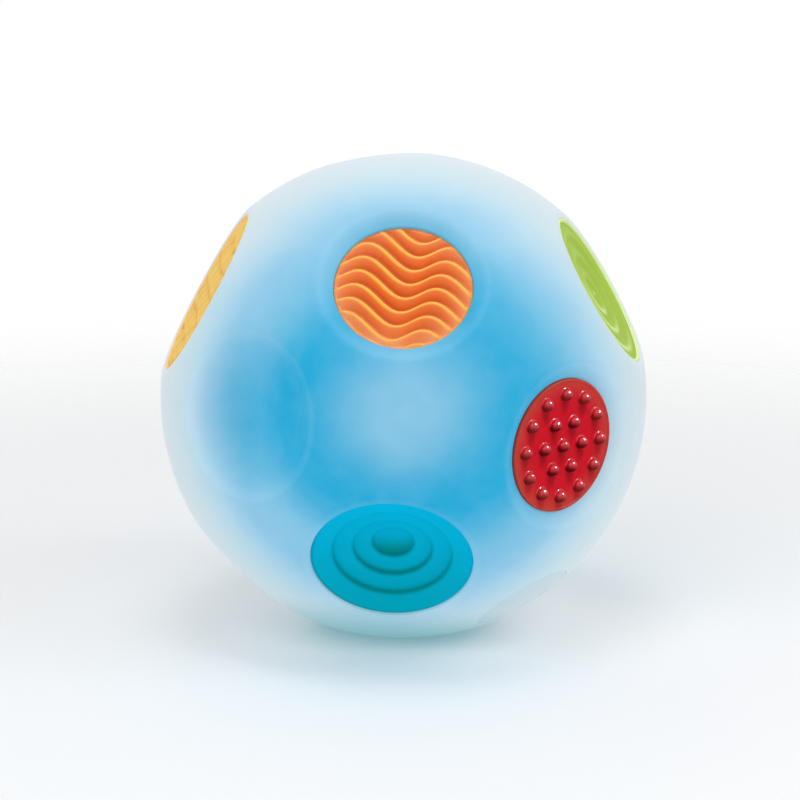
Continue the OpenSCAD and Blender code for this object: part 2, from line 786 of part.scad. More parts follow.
module switch_slider() {
    rest_y = switch_travel / 2;
    color([0.20, 0.45, 0.75])
        translate([switch_x, rest_y, 0]) {
            difference() {
                translate([-knob_w / 2, -knob_l / 2, door_z])
                    cube([knob_w, knob_l, switch_z - door_z - fit_gap]);
                for (k = [-1:1])
                    translate([-knob_w, k * knob_l / 4 - knob_groove / 2, 0])
                        cube([2 * knob_w, knob_groove, door_z + knob_groove]);
            }
            translate([-stem_w / 2, -stem_l / 2, switch_z - fit_gap])
                cube([stem_w, stem_l, stem_h]);
        }
}

module switch_body() {
    slot_w = stem_w + 2 * fit_gap;
    slot_l = stem_l + switch_travel + 2 * fit_gap;
    color([0.72, 0.74, 0.76])
        difference() {
            translate([switch_x - switch_w / 2, -switch_l / 2, switch_z])
                cube([switch_w, switch_l, switch_h]);
            translate([switch_x - slot_w / 2, -slot_l / 2, switch_z - over])
                cube([slot_w, slot_l, stem_h + over]);
        }
}

module switch_leads() {
    color([0.75, 0.15, 0.15])
        for (side = [-1, 1])
            translate([switch_x, side * lead_side, switch_z + switch_h])
                cylinder(r = lead_r, h = tube_top - switch_z - switch_h, $fn = 24);
}

module circuit_board() {
    color([0.15, 0.45, 0.30])
        difference() {
            translate([0, 0, tube_top]) cylinder(r = board_r, h = board_t, $fn = 96);
            for (side = [-1, 1])
                translate([0, side * board_screw_at, tube_top - over])
                    cylinder(r = shank_r + head_room, h = board_t + 2 * over, $fn = 24);
        }
}

// Lamp that shines sideways: side -1 to the front, +1 to the back
module lamp(side) {
    color([0.75, 0.90, 1.0])
        translate([0, side * lamp_at, board_top]) {
            translate([-lamp_w / 2, side > 0 ? 0 : -lamp_d, 0]) cube([lamp_w, lamp_d, lamp_h]);
            translate([0, side * lamp_d, lamp_h / 2]) sphere(r = lens_r, $fn = 32);
        }
}

module led_front() { lamp(-1); }
module led_back() { lamp(1); }

module control_chip() {
    color([0.12, 0.12, 0.13])
        translate([-chip_w / 2, -chip_w / 2, board_top]) cube([chip_w, chip_w, chip_h]);
}

module motion_switch() {
    color([0.78, 0.70, 0.40])
        translate([motion_at, 0, board_top]) cylinder(r = motion_r, h = motion_h, $fn = 32);
}

module light_dome() {
    color([0.92, 0.96, 1.0])
        translate([0, 0, board_top])
            difference() {
                union() {
                    cylinder(r = board_r, h = dome_flange_t, $fn = 96);
                    cylinder(r = dome_r, h = dome_straight, $fn = 96);
                    translate([0, 0, dome_straight]) sphere(r = dome_r, $fn = 96);
                }
                translate([0, 0, -over]) cylinder(r = dome_r - dome_wall, h = dome_straight + over, $fn = 96);
                translate([0, 0, dome_straight]) sphere(r = dome_r - dome_wall, $fn = 96);
                translate([-ball_r, -ball_r, -2 * ball_r]) cube([2 * ball_r, 2 * ball_r, 2 * ball_r]);
                for (side = [-1, 1])
                    translate([0, side * board_screw_at, -over])
                        cylinder(r = shank_r + head_room, h = dome_flange_t + 2 * over, $fn = 24);
            }
}

module board_screws() {
    color([0.70, 0.71, 0.73])
        for (side = [-1, 1])
            translate([0, side * board_screw_at, board_top + dome_flange_t + head_t])
                mirror([0, 0, 1]) screw(board_shank_l + head_t);
}

ball_skin();
wave_insert();
nub_insert();
step_insert();
facet_insert();
ring_insert();
back_nub_insert();
back_ring_insert();
back_step_insert();
round_cap();
base_cup();
battery_door();
door_contact();
door_screw_front();
door_screw_back();
switch_slider();
switch_body();
switch_leads();
battery_cell(0);  // battery_cell_1
battery_cell(1);  // battery_cell_2
battery_cell(2);  // battery_cell_3
top_contact();
circuit_board();
led_front();
led_back();
control_chip();
motion_switch();
light_dome();
board_screws();
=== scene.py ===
"""Looks of a light-up sensory ball: a milky skin that glows from inside, dished seats and rubber discs.

Everything is in metres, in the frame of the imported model: +Z is up, the wave disc faces -Y, and the ball
stands on z = 0. Each class below is a sub-assembly of the ball or one of its finishes. Surfaces are numpy
grids of points.
"""

import logging
import math
from dataclasses import dataclass, field
from enum import Enum
from typing import Any, Callable, ClassVar, Optional, Sequence

import bpy
import numpy as np
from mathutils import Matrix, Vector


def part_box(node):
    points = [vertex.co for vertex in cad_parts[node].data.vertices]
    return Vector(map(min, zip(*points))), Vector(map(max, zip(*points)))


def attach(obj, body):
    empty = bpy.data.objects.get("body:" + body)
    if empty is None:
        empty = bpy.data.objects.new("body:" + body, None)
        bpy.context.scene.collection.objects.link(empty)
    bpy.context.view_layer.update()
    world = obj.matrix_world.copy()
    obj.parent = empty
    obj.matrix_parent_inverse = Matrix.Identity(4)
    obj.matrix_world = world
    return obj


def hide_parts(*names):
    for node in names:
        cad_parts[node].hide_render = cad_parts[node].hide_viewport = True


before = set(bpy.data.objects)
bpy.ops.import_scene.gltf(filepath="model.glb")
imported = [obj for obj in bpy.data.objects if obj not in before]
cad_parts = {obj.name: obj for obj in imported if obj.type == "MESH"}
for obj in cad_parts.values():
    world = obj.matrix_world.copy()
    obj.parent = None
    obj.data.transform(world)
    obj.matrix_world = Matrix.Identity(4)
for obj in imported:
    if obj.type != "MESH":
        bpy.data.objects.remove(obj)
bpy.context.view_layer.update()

LOG = logging.getLogger("sensory_ball")
MM = 0.001
Triple = tuple[float, float, float]
Colour = tuple[float, float, float]
Span = tuple[float, float]
LEFT: Triple = (-1.0, 0.0, 0.0)
UP: Triple = (0.0, 0.0, 1.0)
BLACK: Colour = (0.0, 0.0, 0.0)
WHITE: Colour = (1.0, 1.0, 1.0)


def tint(red: int, green: int, blue: int) -> Colour:
    """Linear colour of a screen colour whose three parts run from 0 to 255, by the sRGB curve.

    Args:
        red: Red part.
        green: Green part.
        blue: Blue part.

    Returns:
        The three linear parts, from 0 to 1.
    """
    parts = [part / 255 for part in (red, green, blue)]
    return tuple(p / 12.92 if p <= 0.04045 else ((p + 0.055) / 1.055) ** 2.4 for p in parts)


def dimmed(colour: Colour, share: float) -> Colour:
    """A share of a colour."""
    return tuple(c * share for c in colour)


# Surfaces


def held(values: np.ndarray) -> np.ndarray:
    """The values, held between 0 and 1."""
    return np.clip(values, 0, 1)


def tilted(middle_and_gain: Span, side: np.ndarray) -> np.ndarray:
    """A share with a value at the middle that changes towards one side, held between 0 and 1.

    Args:
        middle_and_gain: The value at the middle, and how much it gains by the side at 1.
        side: How far each point lies to that side.

    Returns:
        The share at each point.
    """
    middle, gain = middle_and_gain
    return held(middle + gain * side)


def once_round(turns: int) -> np.ndarray:
    """Angles once round in equal steps, from 0, in radians."""
    return np.linspace(0, 2 * math.pi, turns, endpoint=False)


@dataclass
class Shell:
    """A surface as whole arrays: points, faces of four and of three sides, and numbers kept at points."""

    points: np.ndarray
    quads: np.ndarray
    triangles: np.ndarray
    marks: dict[str, np.ndarray] = field(default_factory=dict)

    @staticmethod
    def joined(shells: Sequence["Shell"]) -> "Shell":
        """One shell of several, with their marks side by side.

        Args:
            shells: The shells to join. A mark that one of them lacks is zero there.

        Returns:
            The joined shell.
        """
        starts = np.cumsum([0] + [len(s.points) for s in shells])
        names = sorted({name for s in shells for name in s.marks})
        return Shell(
            np.concatenate([s.points for s in shells]),
            np.concatenate([s.quads + start for s, start in zip(shells, starts)]),
            np.concatenate([s.triangles + start for s, start in zip(shells, starts)]),
            {
                name: np.concatenate([s.marks.get(name, np.zeros(len(s.points))) for s in shells])
                for name in names
            },
        )

    def placed(self, axes: np.ndarray, origin: np.ndarray) -> "Shell":
        """The shell turned onto three axes and moved.

        Args:
            axes: Rows are the directions that the shell's own x, y and z take.
            origin: Where the shell's own origin goes.

        Returns:
            The shell in its place.
        """
        return Shell(self.points @ axes + origin, self.quads, self.triangles, self.marks)

    def turned_inside_out(self) -> "Shell":
        """The same surface with its faces turned the other way."""
        return Shell(self.points, self.quads[:, ::-1], self.triangles[:, ::-1], self.marks)

    def made(self, name: str, crease: Optional[float] = None) -> bpy.types.Object:
        """Makes a mesh object of the shell, smooth but for edges that turn by more than the crease.

        Args:
            name: Name of the object.
            crease: Angle in degrees past which an edge stays sharp, or None for none.

        Returns:
            The new object, at the origin.
        """
        mesh = bpy.data.meshes.new(name)
        corners = np.concatenate([self.quads.ravel(), self.triangles.ravel()]).astype(np.int32)
        four, three = len(self.quads), len(self.triangles)
        starts = np.concatenate([np.arange(four) * 4, four * 4 + np.arange(three) * 3]).astype(np.int32)
        mesh.vertices.add(len(self.points))
        mesh.vertices.foreach_set("co", self.points.astype(np.float32).ravel())
        mesh.loops.add(len(corners))
        mesh.loops.foreach_set("vertex_index", corners)
        mesh.polygons.add(len(starts))
        mesh.polygons.foreach_set("loop_start", starts)
        mesh.update(calc_edges=True)
        mesh.polygons.foreach_set("use_smooth", np.ones(len(starts), dtype=bool))
        for mark, values in self.marks.items():
            kept = mesh.attributes.new(mark, "FLOAT", "POINT")
            kept.data.foreach_set("value", values.astype(np.float32))
        if crease is not None:
            mesh.set_sharp_from_angle(angle=math.radians(crease))
        mesh.validate()
        piece = bpy.data.objects.new(name, mesh)
        bpy.context.scene.collection.objects.link(piece)
        return piece


def arc(x: float, z: float, radius: float, start: float, end: float, steps: int) -> np.ndarray:
    """Points of a circular arc, (x + radius cos a, z + radius sin a), with a in equal steps.

    Args:
        x: Centre's distance from the axis.
        z: Centre's height.
        radius: Radius of the arc.
        start: First angle in degrees.
        end: Last angle in degrees.
        steps: Steps along the arc.

    Returns:
        Array of steps + 1 points.
    """
    angles = np.radians(np.linspace(start, end, steps + 1))
    return np.stack([x + radius * np.cos(angles), z + radius * np.sin(angles)], axis=1)


def bands(rows: int, turns: int) -> tuple[np.ndarray, np.ndarray, np.ndarray]:
    """Faces between rings of points, one ring after the other, past a first point that is on its own.

    Args:
        rows: How many rings there are.
        turns: Points of each ring.

    Returns:
        Point numbers by ring and place, the same one place further round, and the four-sided faces.
    """
    ring = 1 + np.arange(rows * turns).reshape(rows, turns)
    after = np.roll(ring, -1, axis=1)
    quads = np.stack([ring[:-1], after[:-1], after[1:], ring[1:]], axis=-1).reshape(-1, 4)
    return ring, after, quads


def turned(
    radii: np.ndarray, heights: np.ndarray, turns: int, marks: Optional[dict[str, np.ndarray]] = None
) -> Shell:
    """Closed surface carried round the Z axis, from its lower pole to its upper one.

    Row i of the grid is (radii[i] cos a, radii[i] sin a, heights[i, a]), with a once round in equal steps.
    The first and the last row lie on the axis and become the two poles.

    Args:
        radii: Distance of each row from the axis, zero in the first and the last.
        heights: Height of each row, as one number a row or as one number for each row and turn.
        turns: Steps once round.
        marks: Numbers to keep at the points, shaped as the heights.

    Returns:
        The closed shell, with its faces outwards.
    """
    rows = len(radii)

    def spread(values: np.ndarray) -> np.ndarray:
        """One value for each point: the lower pole, the rows between, the upper pole."""
        full = np.broadcast_to(values[:, None] if values.ndim == 1 else values, (rows, turns))
        return np.concatenate([full[0, :1], full[1:-1].ravel(), full[-1, :1]])

    reach = np.concatenate([[0.0], np.repeat(radii[1:-1], turns), [0.0]])
    way = np.concatenate([[0.0], np.tile(once_round(turns), rows - 2), [0.0]])
    points = np.stack([reach * np.cos(way), reach * np.sin(way), spread(heights)], axis=1)
    ring, after, quads = bands(rows - 2, turns)
    low = np.stack([np.zeros(turns, int), after[0], ring[0]], axis=-1)
    high = np.stack([np.full(turns, len(points) - 1), ring[-1], after[-1]], axis=-1)
    kept = {name: spread(values) for name, values in (marks or {}).items()}
    return Shell(points, quads, np.concatenate([low, high]), kept)


def lathe(outline: np.ndarray, turns: int) -> Shell:
    """Closed surface turned from an outline of (distance from the axis, height), both ends on the axis.

    Args:
        outline: The points of the outline, from the lower pole outwards and round to the upper pole.
        turns: Steps once round.

    Returns:
        The closed shell.
    """
    return turned(outline[:, 0], outline[:, 1], turns)


def round_grid(steps: int) -> Shell:
    """Unit sphere made of six square grids, which meet along their edges and share their points there.

    On the side that faces an axis, the point at the angles a and b, from -45 to 45 degrees, is
    (1, tan a, tan b) in that side's own axes, divided by its length.

    Args:
        steps: Steps along each edge of a square.

    Returns:
        The closed sphere.
    """
    spread = np.tan(np.radians(np.linspace(-45, 45, steps + 1)))
    a, b = np.meshgrid(spread, spread, indexing="ij")
    flat = np.stack([np.ones_like(a), a, b], axis=-1).reshape(-1, 3)
    flat /= np.linalg.norm(flat, axis=1, keepdims=True)
    index = np.arange((steps + 1) ** 2).reshape(steps + 1, steps + 1)
    corners = [index[:-1, :-1], index[1:, :-1], index[1:, 1:], index[:-1, 1:]]
    square = np.stack(corners, axis=-1).reshape(-1, 4)
    x, y, z = np.eye(3)
    sides = [(x, y, z), (-x, -y, z), (y, -x, z), (-y, x, z), (z, x, y), (-z, x, -y)]
    points = np.concatenate([flat @ np.stack(side) for side in sides])
    quads = np.concatenate([square + k * len(flat) for k in range(len(sides))])
    _, first, inverse = np.unique(np.round(points, 7), axis=0, return_index=True, return_inverse=True)
    return Shell(points[first], inverse.ravel()[quads], np.zeros((0, 3), int))


# Seats of the ball


@dataclass(frozen=True)
class Facing:
    """Which way a seat or a lamp lies: degrees round from the front towards the right, and degrees up."""

    azimuth: float
    elevation: float

    def axes(self) -> np.ndarray:
        """Works out the seat's own axes.

        Returns:
            Three unit vectors as rows: to the right and up, both as seen from outside, and outwards.
        """
        az = math.radians(self.azimuth)
        el = math.radians(self.elevation)
        out = np.array([math.sin(az) * math.cos(el), -math.cos(az) * math.cos(el), math.sin(el)])
        right = np.array([math.cos(az), math.sin(az), 0.0])
        return np.stack([right, np.cross(out, right), out])

    def out(self) -> Triple:
        """The unit vector outwards, for a shader."""
        return tuple(float(part) for part in self.axes()[2])


@dataclass(frozen=True)
class Seat:
    """A round seat in the skin: the radius of its mouth and, where it holds a piece, that piece's sizes.

    They are the piece's radius, how deep its edge is sunk below the mouth, and its thickness. A seat that
    isn't dished is a plain pocket in the round of the ball, and its sink is measured from that round.
    """

    mouth: float
    disc_r: float = 0.0
    sink: float = 0.0
    thick: float = 0.0
    dished: bool = True


class Touch(Enum):
    """The kinds of disc, each with its seat."""

    WAVES = Seat(21.5 * MM, 17.6 * MM, 3.1 * MM, 3.4 * MM)
    NUBS = Seat(21.5 * MM, 17.4 * MM, 1.7 * MM, 3.6 * MM)
    STEPS = Seat(22.0 * MM, 20.7 * MM, 1.4 * MM, 9.4 * MM)
    FACETS = Seat(23.9 * MM, 23.3 * MM, 0.6 * MM, 3.4 * MM)
    RINGS = Seat(22.2 * MM, 21.6 * MM, 0.6 * MM, 4.6 * MM)


DISCS: dict[str, tuple[Touch, Facing]] = {
    "wave_insert": (Touch.WAVES, Facing(0, 39)),
    "nub_insert": (Touch.NUBS, Facing(43, -4)),
    "step_insert": (Touch.STEPS, Facing(-3.4, -32.5)),
    "facet_insert": (Touch.FACETS, Facing(-85, 29)),
    "ring_insert": (Touch.RINGS, Facing(81, 30)),
    "back_nub_insert": (Touch.NUBS, Facing(-135, 2)),
    "back_ring_insert": (Touch.RINGS, Facing(162, 24)),
    "back_step_insert": (Touch.STEPS, Facing(118, -14)),
}
BARE_BOWLS = (Facing(-40, 4), Facing(-86, -48), Facing(-159, 67), Facing(180, -34))
BARE_SEAT = Seat(21.5 * MM)
CAP_FACING = Facing(51, -50.7)
CAP_SEAT = Seat(13.6 * MM, 13.6 * MM, 0.3 * MM, 2.8 * MM, dished=False)


@dataclass(frozen=True)
class BallForm:
    """The round of the ball and the section of its dished seats. Radius and centre come from the frame."""

    radius: float
    centre: np.ndarray
    wall: float = 3.0 * MM
    bowl_depth: float = 7.0 * MM
    rim_round: float = 3.5 * MM
    widest_pocket: float = math.radians(70)

    @classmethod
    def from_frame(cls) -> "BallForm":
        """Reads the ball's radius and centre off the skin's box in the frame, at its narrower width.

        Returns:
            The form.
        """
        low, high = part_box("ball_skin")
        radius = min(high.x - low.x, high.y - low.y) / 2
        return cls(radius, np.array([0.0, 0.0, high.z - radius]))

    def mouth_plane(self, seat: Seat) -> float:
        """Distance of the plane of a mouth from the ball's centre."""
        return math.sqrt(self.radius**2 - seat.mouth**2)

    def disc_plane(self, seat: Seat) -> float:
        """Distance of the plane of a disc's edge from the ball's centre.

        Args:
            seat: The disc's seat.

        Returns:
            The distance.
        """
        if not seat.dished:
            return math.sqrt((self.radius - seat.sink) ** 2 - seat.disc_r**2)
        return self.mouth_plane(seat) - seat.sink

    def bowl(self, seat: Seat) -> tuple[float, float]:
        """Radius of a bowl's round, and how far out its centre lies."""
        radius = (seat.mouth**2 + self.bowl_depth**2) / (2 * self.bowl_depth)
        return radius, self.mouth_plane(seat) - self.bowl_depth + radius

    def roll(self, seat: Seat) -> tuple[float, float]:
        """Centre of the soft roll round a mouth.

        The roll touches the ball from inside and the bowl from outside, so its centre is ball radius minus
        roll radius from the ball's centre, and bowl radius plus roll radius from the bowl's centre.

        Args:
            seat: The seat.

        Returns:
            Distance from the seat's axis, and distance out along it.
        """
        bowl, out = self.bowl(seat)
        reach = self.radius - self.rim_round
        height = (reach**2 - (bowl + self.rim_round) ** 2 + out**2) / (2 * out)
        return math.sqrt(reach**2 - height**2), height

    def surface(self, angle: np.ndarray, seat: Seat) -> np.ndarray:
        """Distance of the outer surface from the ball's centre, at an angle from a seat's axis.

        Inside the bowl it is where the ray meets the bowl's round, c cos a - sqrt(b² - c² sin² a). On
        the roll it is where the ray leaves the roll, c cos(a - g) + sqrt(r² - c² sin²(a - g)). Past the
        roll it is the ball.

        Args:
            angle: Angles from the seat's axis, in radians.
            seat: The seat.

        Returns:
            The distances.
        """
        if not seat.dished:
            return np.full(angle.shape, self.radius)
        bowl, out = self.bowl(seat)
        x, z = self.roll(seat)
        far = math.hypot(x, z)
        turn = math.atan2(x, z)
        touch = np.array([x, z]) + self.rim_round * np.array([-x, out - z]) / math.hypot(x, out - z)
        inner = math.atan2(touch[0], touch[1])
        in_bowl = out * np.cos(angle) - np.sqrt(np.maximum(bowl**2 - (out * np.sin(angle)) ** 2, 0))
        across = far * np.sin(angle - turn)
        on_roll = far * np.cos(angle - turn) + np.sqrt(np.maximum(self.rim_round**2 - across**2, 0))
        return np.where(angle < inner, in_bowl, np.where(angle < turn, on_roll, self.radius))

    def back(self, angle: np.ndarray, seat: Seat) -> np.ndarray:
        """Distance of the skin's inner surface from the ball's centre, at an angle from a seat's axis.

        Behind a bowl it follows the bowl, one wall further in. Behind a pocket it is a flat plane,
        p / cos a, one wall behind the pocket's back. Elsewhere, and where those lie further out, it is the
        ball less the wall.

        Args:
            angle: Angles from the seat's axis, in radians.
            seat: The seat.

        Returns:
            The distances.
        """
        found = np.full(angle.shape, self.radius - self.wall)
        if seat.dished:
            bowl, out = self.bowl(seat)
            last = math.atan2(seat.mouth + self.wall, self.mouth_plane(seat))
            across = out * np.sin(np.minimum(angle, last))
            behind = out * np.cos(angle) - np.sqrt(np.maximum((bowl + self.wall) ** 2 - across**2, 0))
            found = np.where(angle > last, found, np.minimum(behind, found))
        if seat.disc_r > 0:
            plane = self.disc_plane(seat) - seat.thick - self.wall
            found = np.minimum(found, plane / np.cos(np.minimum(angle, self.widest_pocket)))
        return found


# Shader maths


class Wire:
    """An output socket that can be used in Python expressions, which add the Math nodes that they need."""

    def __init__(self, shader: "Shader", socket: bpy.types.NodeSocket) -> None:
        """Wraps a socket of a shader's node tree."""
        self.shader = shader
        self.socket = socket

    def _math(self, operation: str, *operands: Any) -> "Wire":
        """Adds a Math node on operands and returns its result."""
        return self.shader.wire("ShaderNodeMath", {"operation": operation}, dict(enumerate(operands)))

    def __add__(self, other: Any) -> "Wire":
        """Sum."""
        return self._math("ADD", self, other)

    def __radd__(self, other: Any) -> "Wire":
        """Sum with a number on the left."""
        return self._math("ADD", other, self)

    def __sub__(self, other: Any) -> "Wire":
        """Difference."""
        return self._math("SUBTRACT", self, other)

    def __rsub__(self, other: Any) -> "Wire":
        """Difference from a number on the left."""
        return self._math("SUBTRACT", other, self)

    def __mul__(self, other: Any) -> "Wire":
        """Product."""
        return self._math("MULTIPLY", self, other)

    def __rmul__(self, other: Any) -> "Wire":
        """Product with a number on the left."""
        return self._math("MULTIPLY", other, self)

    def __truediv__(self, other: Any) -> "Wire":
        """Quotient."""
        return self._math("DIVIDE", self, other)

    def __rtruediv__(self, other: Any) -> "Wire":
        """A number on the left divided by the value."""
        return self._math("DIVIDE", other, self)

    def held(self, low: float, high: float) -> "Wire":
        """The value held between two others."""
        return self._math("MINIMUM", self.larger(low), high)

    def larger(self, other: Any) -> "Wire":
        """The larger of two values."""
        return self._math("MAXIMUM", self, other)

    def arccos(self) -> "Wire":
        """Angle in radians whose cosine the value is."""
        return self._math("ARCCOSINE", self)


class Shader:
    """The node tree of a material or a world, built up through one method that adds any node."""

    def __init__(self, owner: bpy.types.ID) -> None:
        """Empties the node tree of a new material or world.

        Args:
            owner: The material or the world.
        """
        owner.use_nodes = True
        self.owner = owner
        self.tree = owner.node_tree
        self.tree.nodes.clear()

    @classmethod
    def of_material(cls, name: str) -> "Shader":
        """The shader of a new material of that name."""
        return cls(bpy.data.materials.new(name))

    def node(self, kind: str, settings: dict[str, Any], inputs: dict[Any, Any]) -> bpy.types.Node:
        """Adds a node.

        Args:
            kind: The node's type.
            settings: Its settings, set first. For a ramp, stops is a list of (place, colour) pairs.
            inputs: Values or links of its sockets, by name or number.

        Returns:
            The new node.
        """
        made = self.tree.nodes.new(kind)
        for name, value in settings.items():
            if name == "stops":
                ramp = made.color_ramp.elements
                while len(ramp) < len(value):
                    ramp.new(0.5)
                for element, (place, colour) in zip(ramp, value):
                    element.position = place
                    element.color = (*colour, 1.0)
            else:
                setattr(made, name, value)
        for name, value in inputs.items():
            if isinstance(value, Wire):
                self.tree.links.new(value.socket, made.inputs[name])
            elif made.inputs[name].type == "RGBA" and len(value) == 3:
                made.inputs[name].default_value = (*value, 1.0)
            else:
                made.inputs[name].default_value = value
        return made

    def wire(self, kind: str, settings: dict[str, Any], inputs: dict[Any, Any], output: Any = 0) -> Wire:
        """Adds a node and returns one of its outputs."""
        return Wire(self, self.node(kind, settings, inputs).outputs[output])

    def place(self) -> Wire:
        """The point on the surface, in metres."""
        return self.wire("ShaderNodeTexCoord", {}, {}, "Object")

    def vector(self, operation: str, *operands: Any, output: str = "Vector") -> Wire:
        """Result of a Vector Math node, which is its output Value where the result is a single number."""
        settings = {"operation": operation}
        return self.wire("ShaderNodeVectorMath", settings, dict(enumerate(operands)), output)

    def length(self, value: Wire) -> Wire:
        """Length of a vector."""
        return self.vector("LENGTH", value, output="Value")

    def along(self, heading: Wire, direction: Triple) -> Wire:
        """Cosine of the angle between a heading and a direction, both of length 1."""
        return self.vector("DOT_PRODUCT", heading, direction, output="Value")

    def mark(self, name: str) -> Wire:
        """A number that the mesh keeps at its points or faces."""
        return self.wire("ShaderNodeAttribute", {"attribute_name": name}, {}, "Fac")

    def noise(self, size: float, detail: float = 2.0, stretch: Triple = (1.0, 1.0, 1.0)) -> Wire:
        """Noise from 0 to 1.

        Args:
            size: Rough size of its lumps, in metres.
            detail: How many finer layers are added.
            stretch: Scale of the place on each axis. Less than 1 draws the lumps out along it.

        Returns:
            The value at each point.
        """
        stretched = self.wire("ShaderNodeMapping", {}, {"Vector": self.place(), "Scale": stretch})
        inputs = {"Vector": stretched, "Scale": 1 / size, "Detail": detail, "Roughness": 0.55}
        return self.wire("ShaderNodeTexNoise", {}, inputs)

    def patches(self, size: float, most: float = 1.0, edges: Span = (0.3, 0.7), detail: float = 3.0) -> Wire:
        """Soft patches, made of noise that is spread out between two of its values.

        Args:
            size: Size of a patch, in metres.
            most: The value inside a patch. Between the patches it is 0.
            edges: The values of the noise where a patch starts and where it is full.
            detail: Detail of the noise.

        Returns:
            The value at each point.
        """
        return self.span(self.noise(size, detail), *edges, 0.0, most)

    def ramp(self, value: Wire, stops: Sequence[tuple[float, Colour]]) -> Wire:
        """Colour that follows a value through stops."""
        return self.wire("ShaderNodeValToRGB", {"stops": stops}, {0: value})

    def span(self, value: Wire, low: float, high: float, to_low: float = 0.0, to_high: float = 1.0) -> Wire:
        """A value carried from one span to another with soft ends, and held at its ends.

        Args:
            value: The value.
            low: Where the first span starts.
            high: Where it ends.
            to_low: What the start becomes.
            to_high: What the end becomes.

        Returns:
            The new value.
        """
        settings = {"interpolation_type": "SMOOTHSTEP", "clamp": True}
        inputs = {"Value": value, "From Min": low, "From Max": high, "To Min": to_low, "To Max": to_high}
        return self.wire("ShaderNodeMapRange", settings, inputs)

    def mix(self, factor: Any, first: Any, second: Any, blend: str = "MIX") -> Wire:
        """Mix of two colours. A plain colour is given as its three parts."""
        settings = {"data_type": "RGBA", "blend_type": blend}
        return self.wire("ShaderNodeMix", settings, {0: factor, 6: first, 7: second}, 2)

    def grain(self, heights: Wire, depth: float) -> Wire:
        """Normal of a surface with small relief, depth in metres."""
        return self.wire("ShaderNodeBump", {}, {"Strength": 1.0, "Distance": depth, "Height": heights})

    def end(self, surface: Wire, output: str = "ShaderNodeOutputMaterial") -> bpy.types.ID:
        """Leads a surface shader to the tree's output and returns the material or the world."""
        self.node(output, {}, {"Surface": surface})
        return self.owner

    def close(self, inputs: dict[str, Any]) -> bpy.types.Material:
        """Ends the tree with a Principled shader and returns the material."""
        return self.end(self.wire("ShaderNodeBsdfPrincipled", {}, inputs))


# Finishes


@dataclass(frozen=True)
class Finish:
    """A finish with a name, which each kind below builds as a material."""

    name: str

    def made(self) -> bpy.types.Material:
        """Each kind builds its material here."""
        raise NotImplementedError


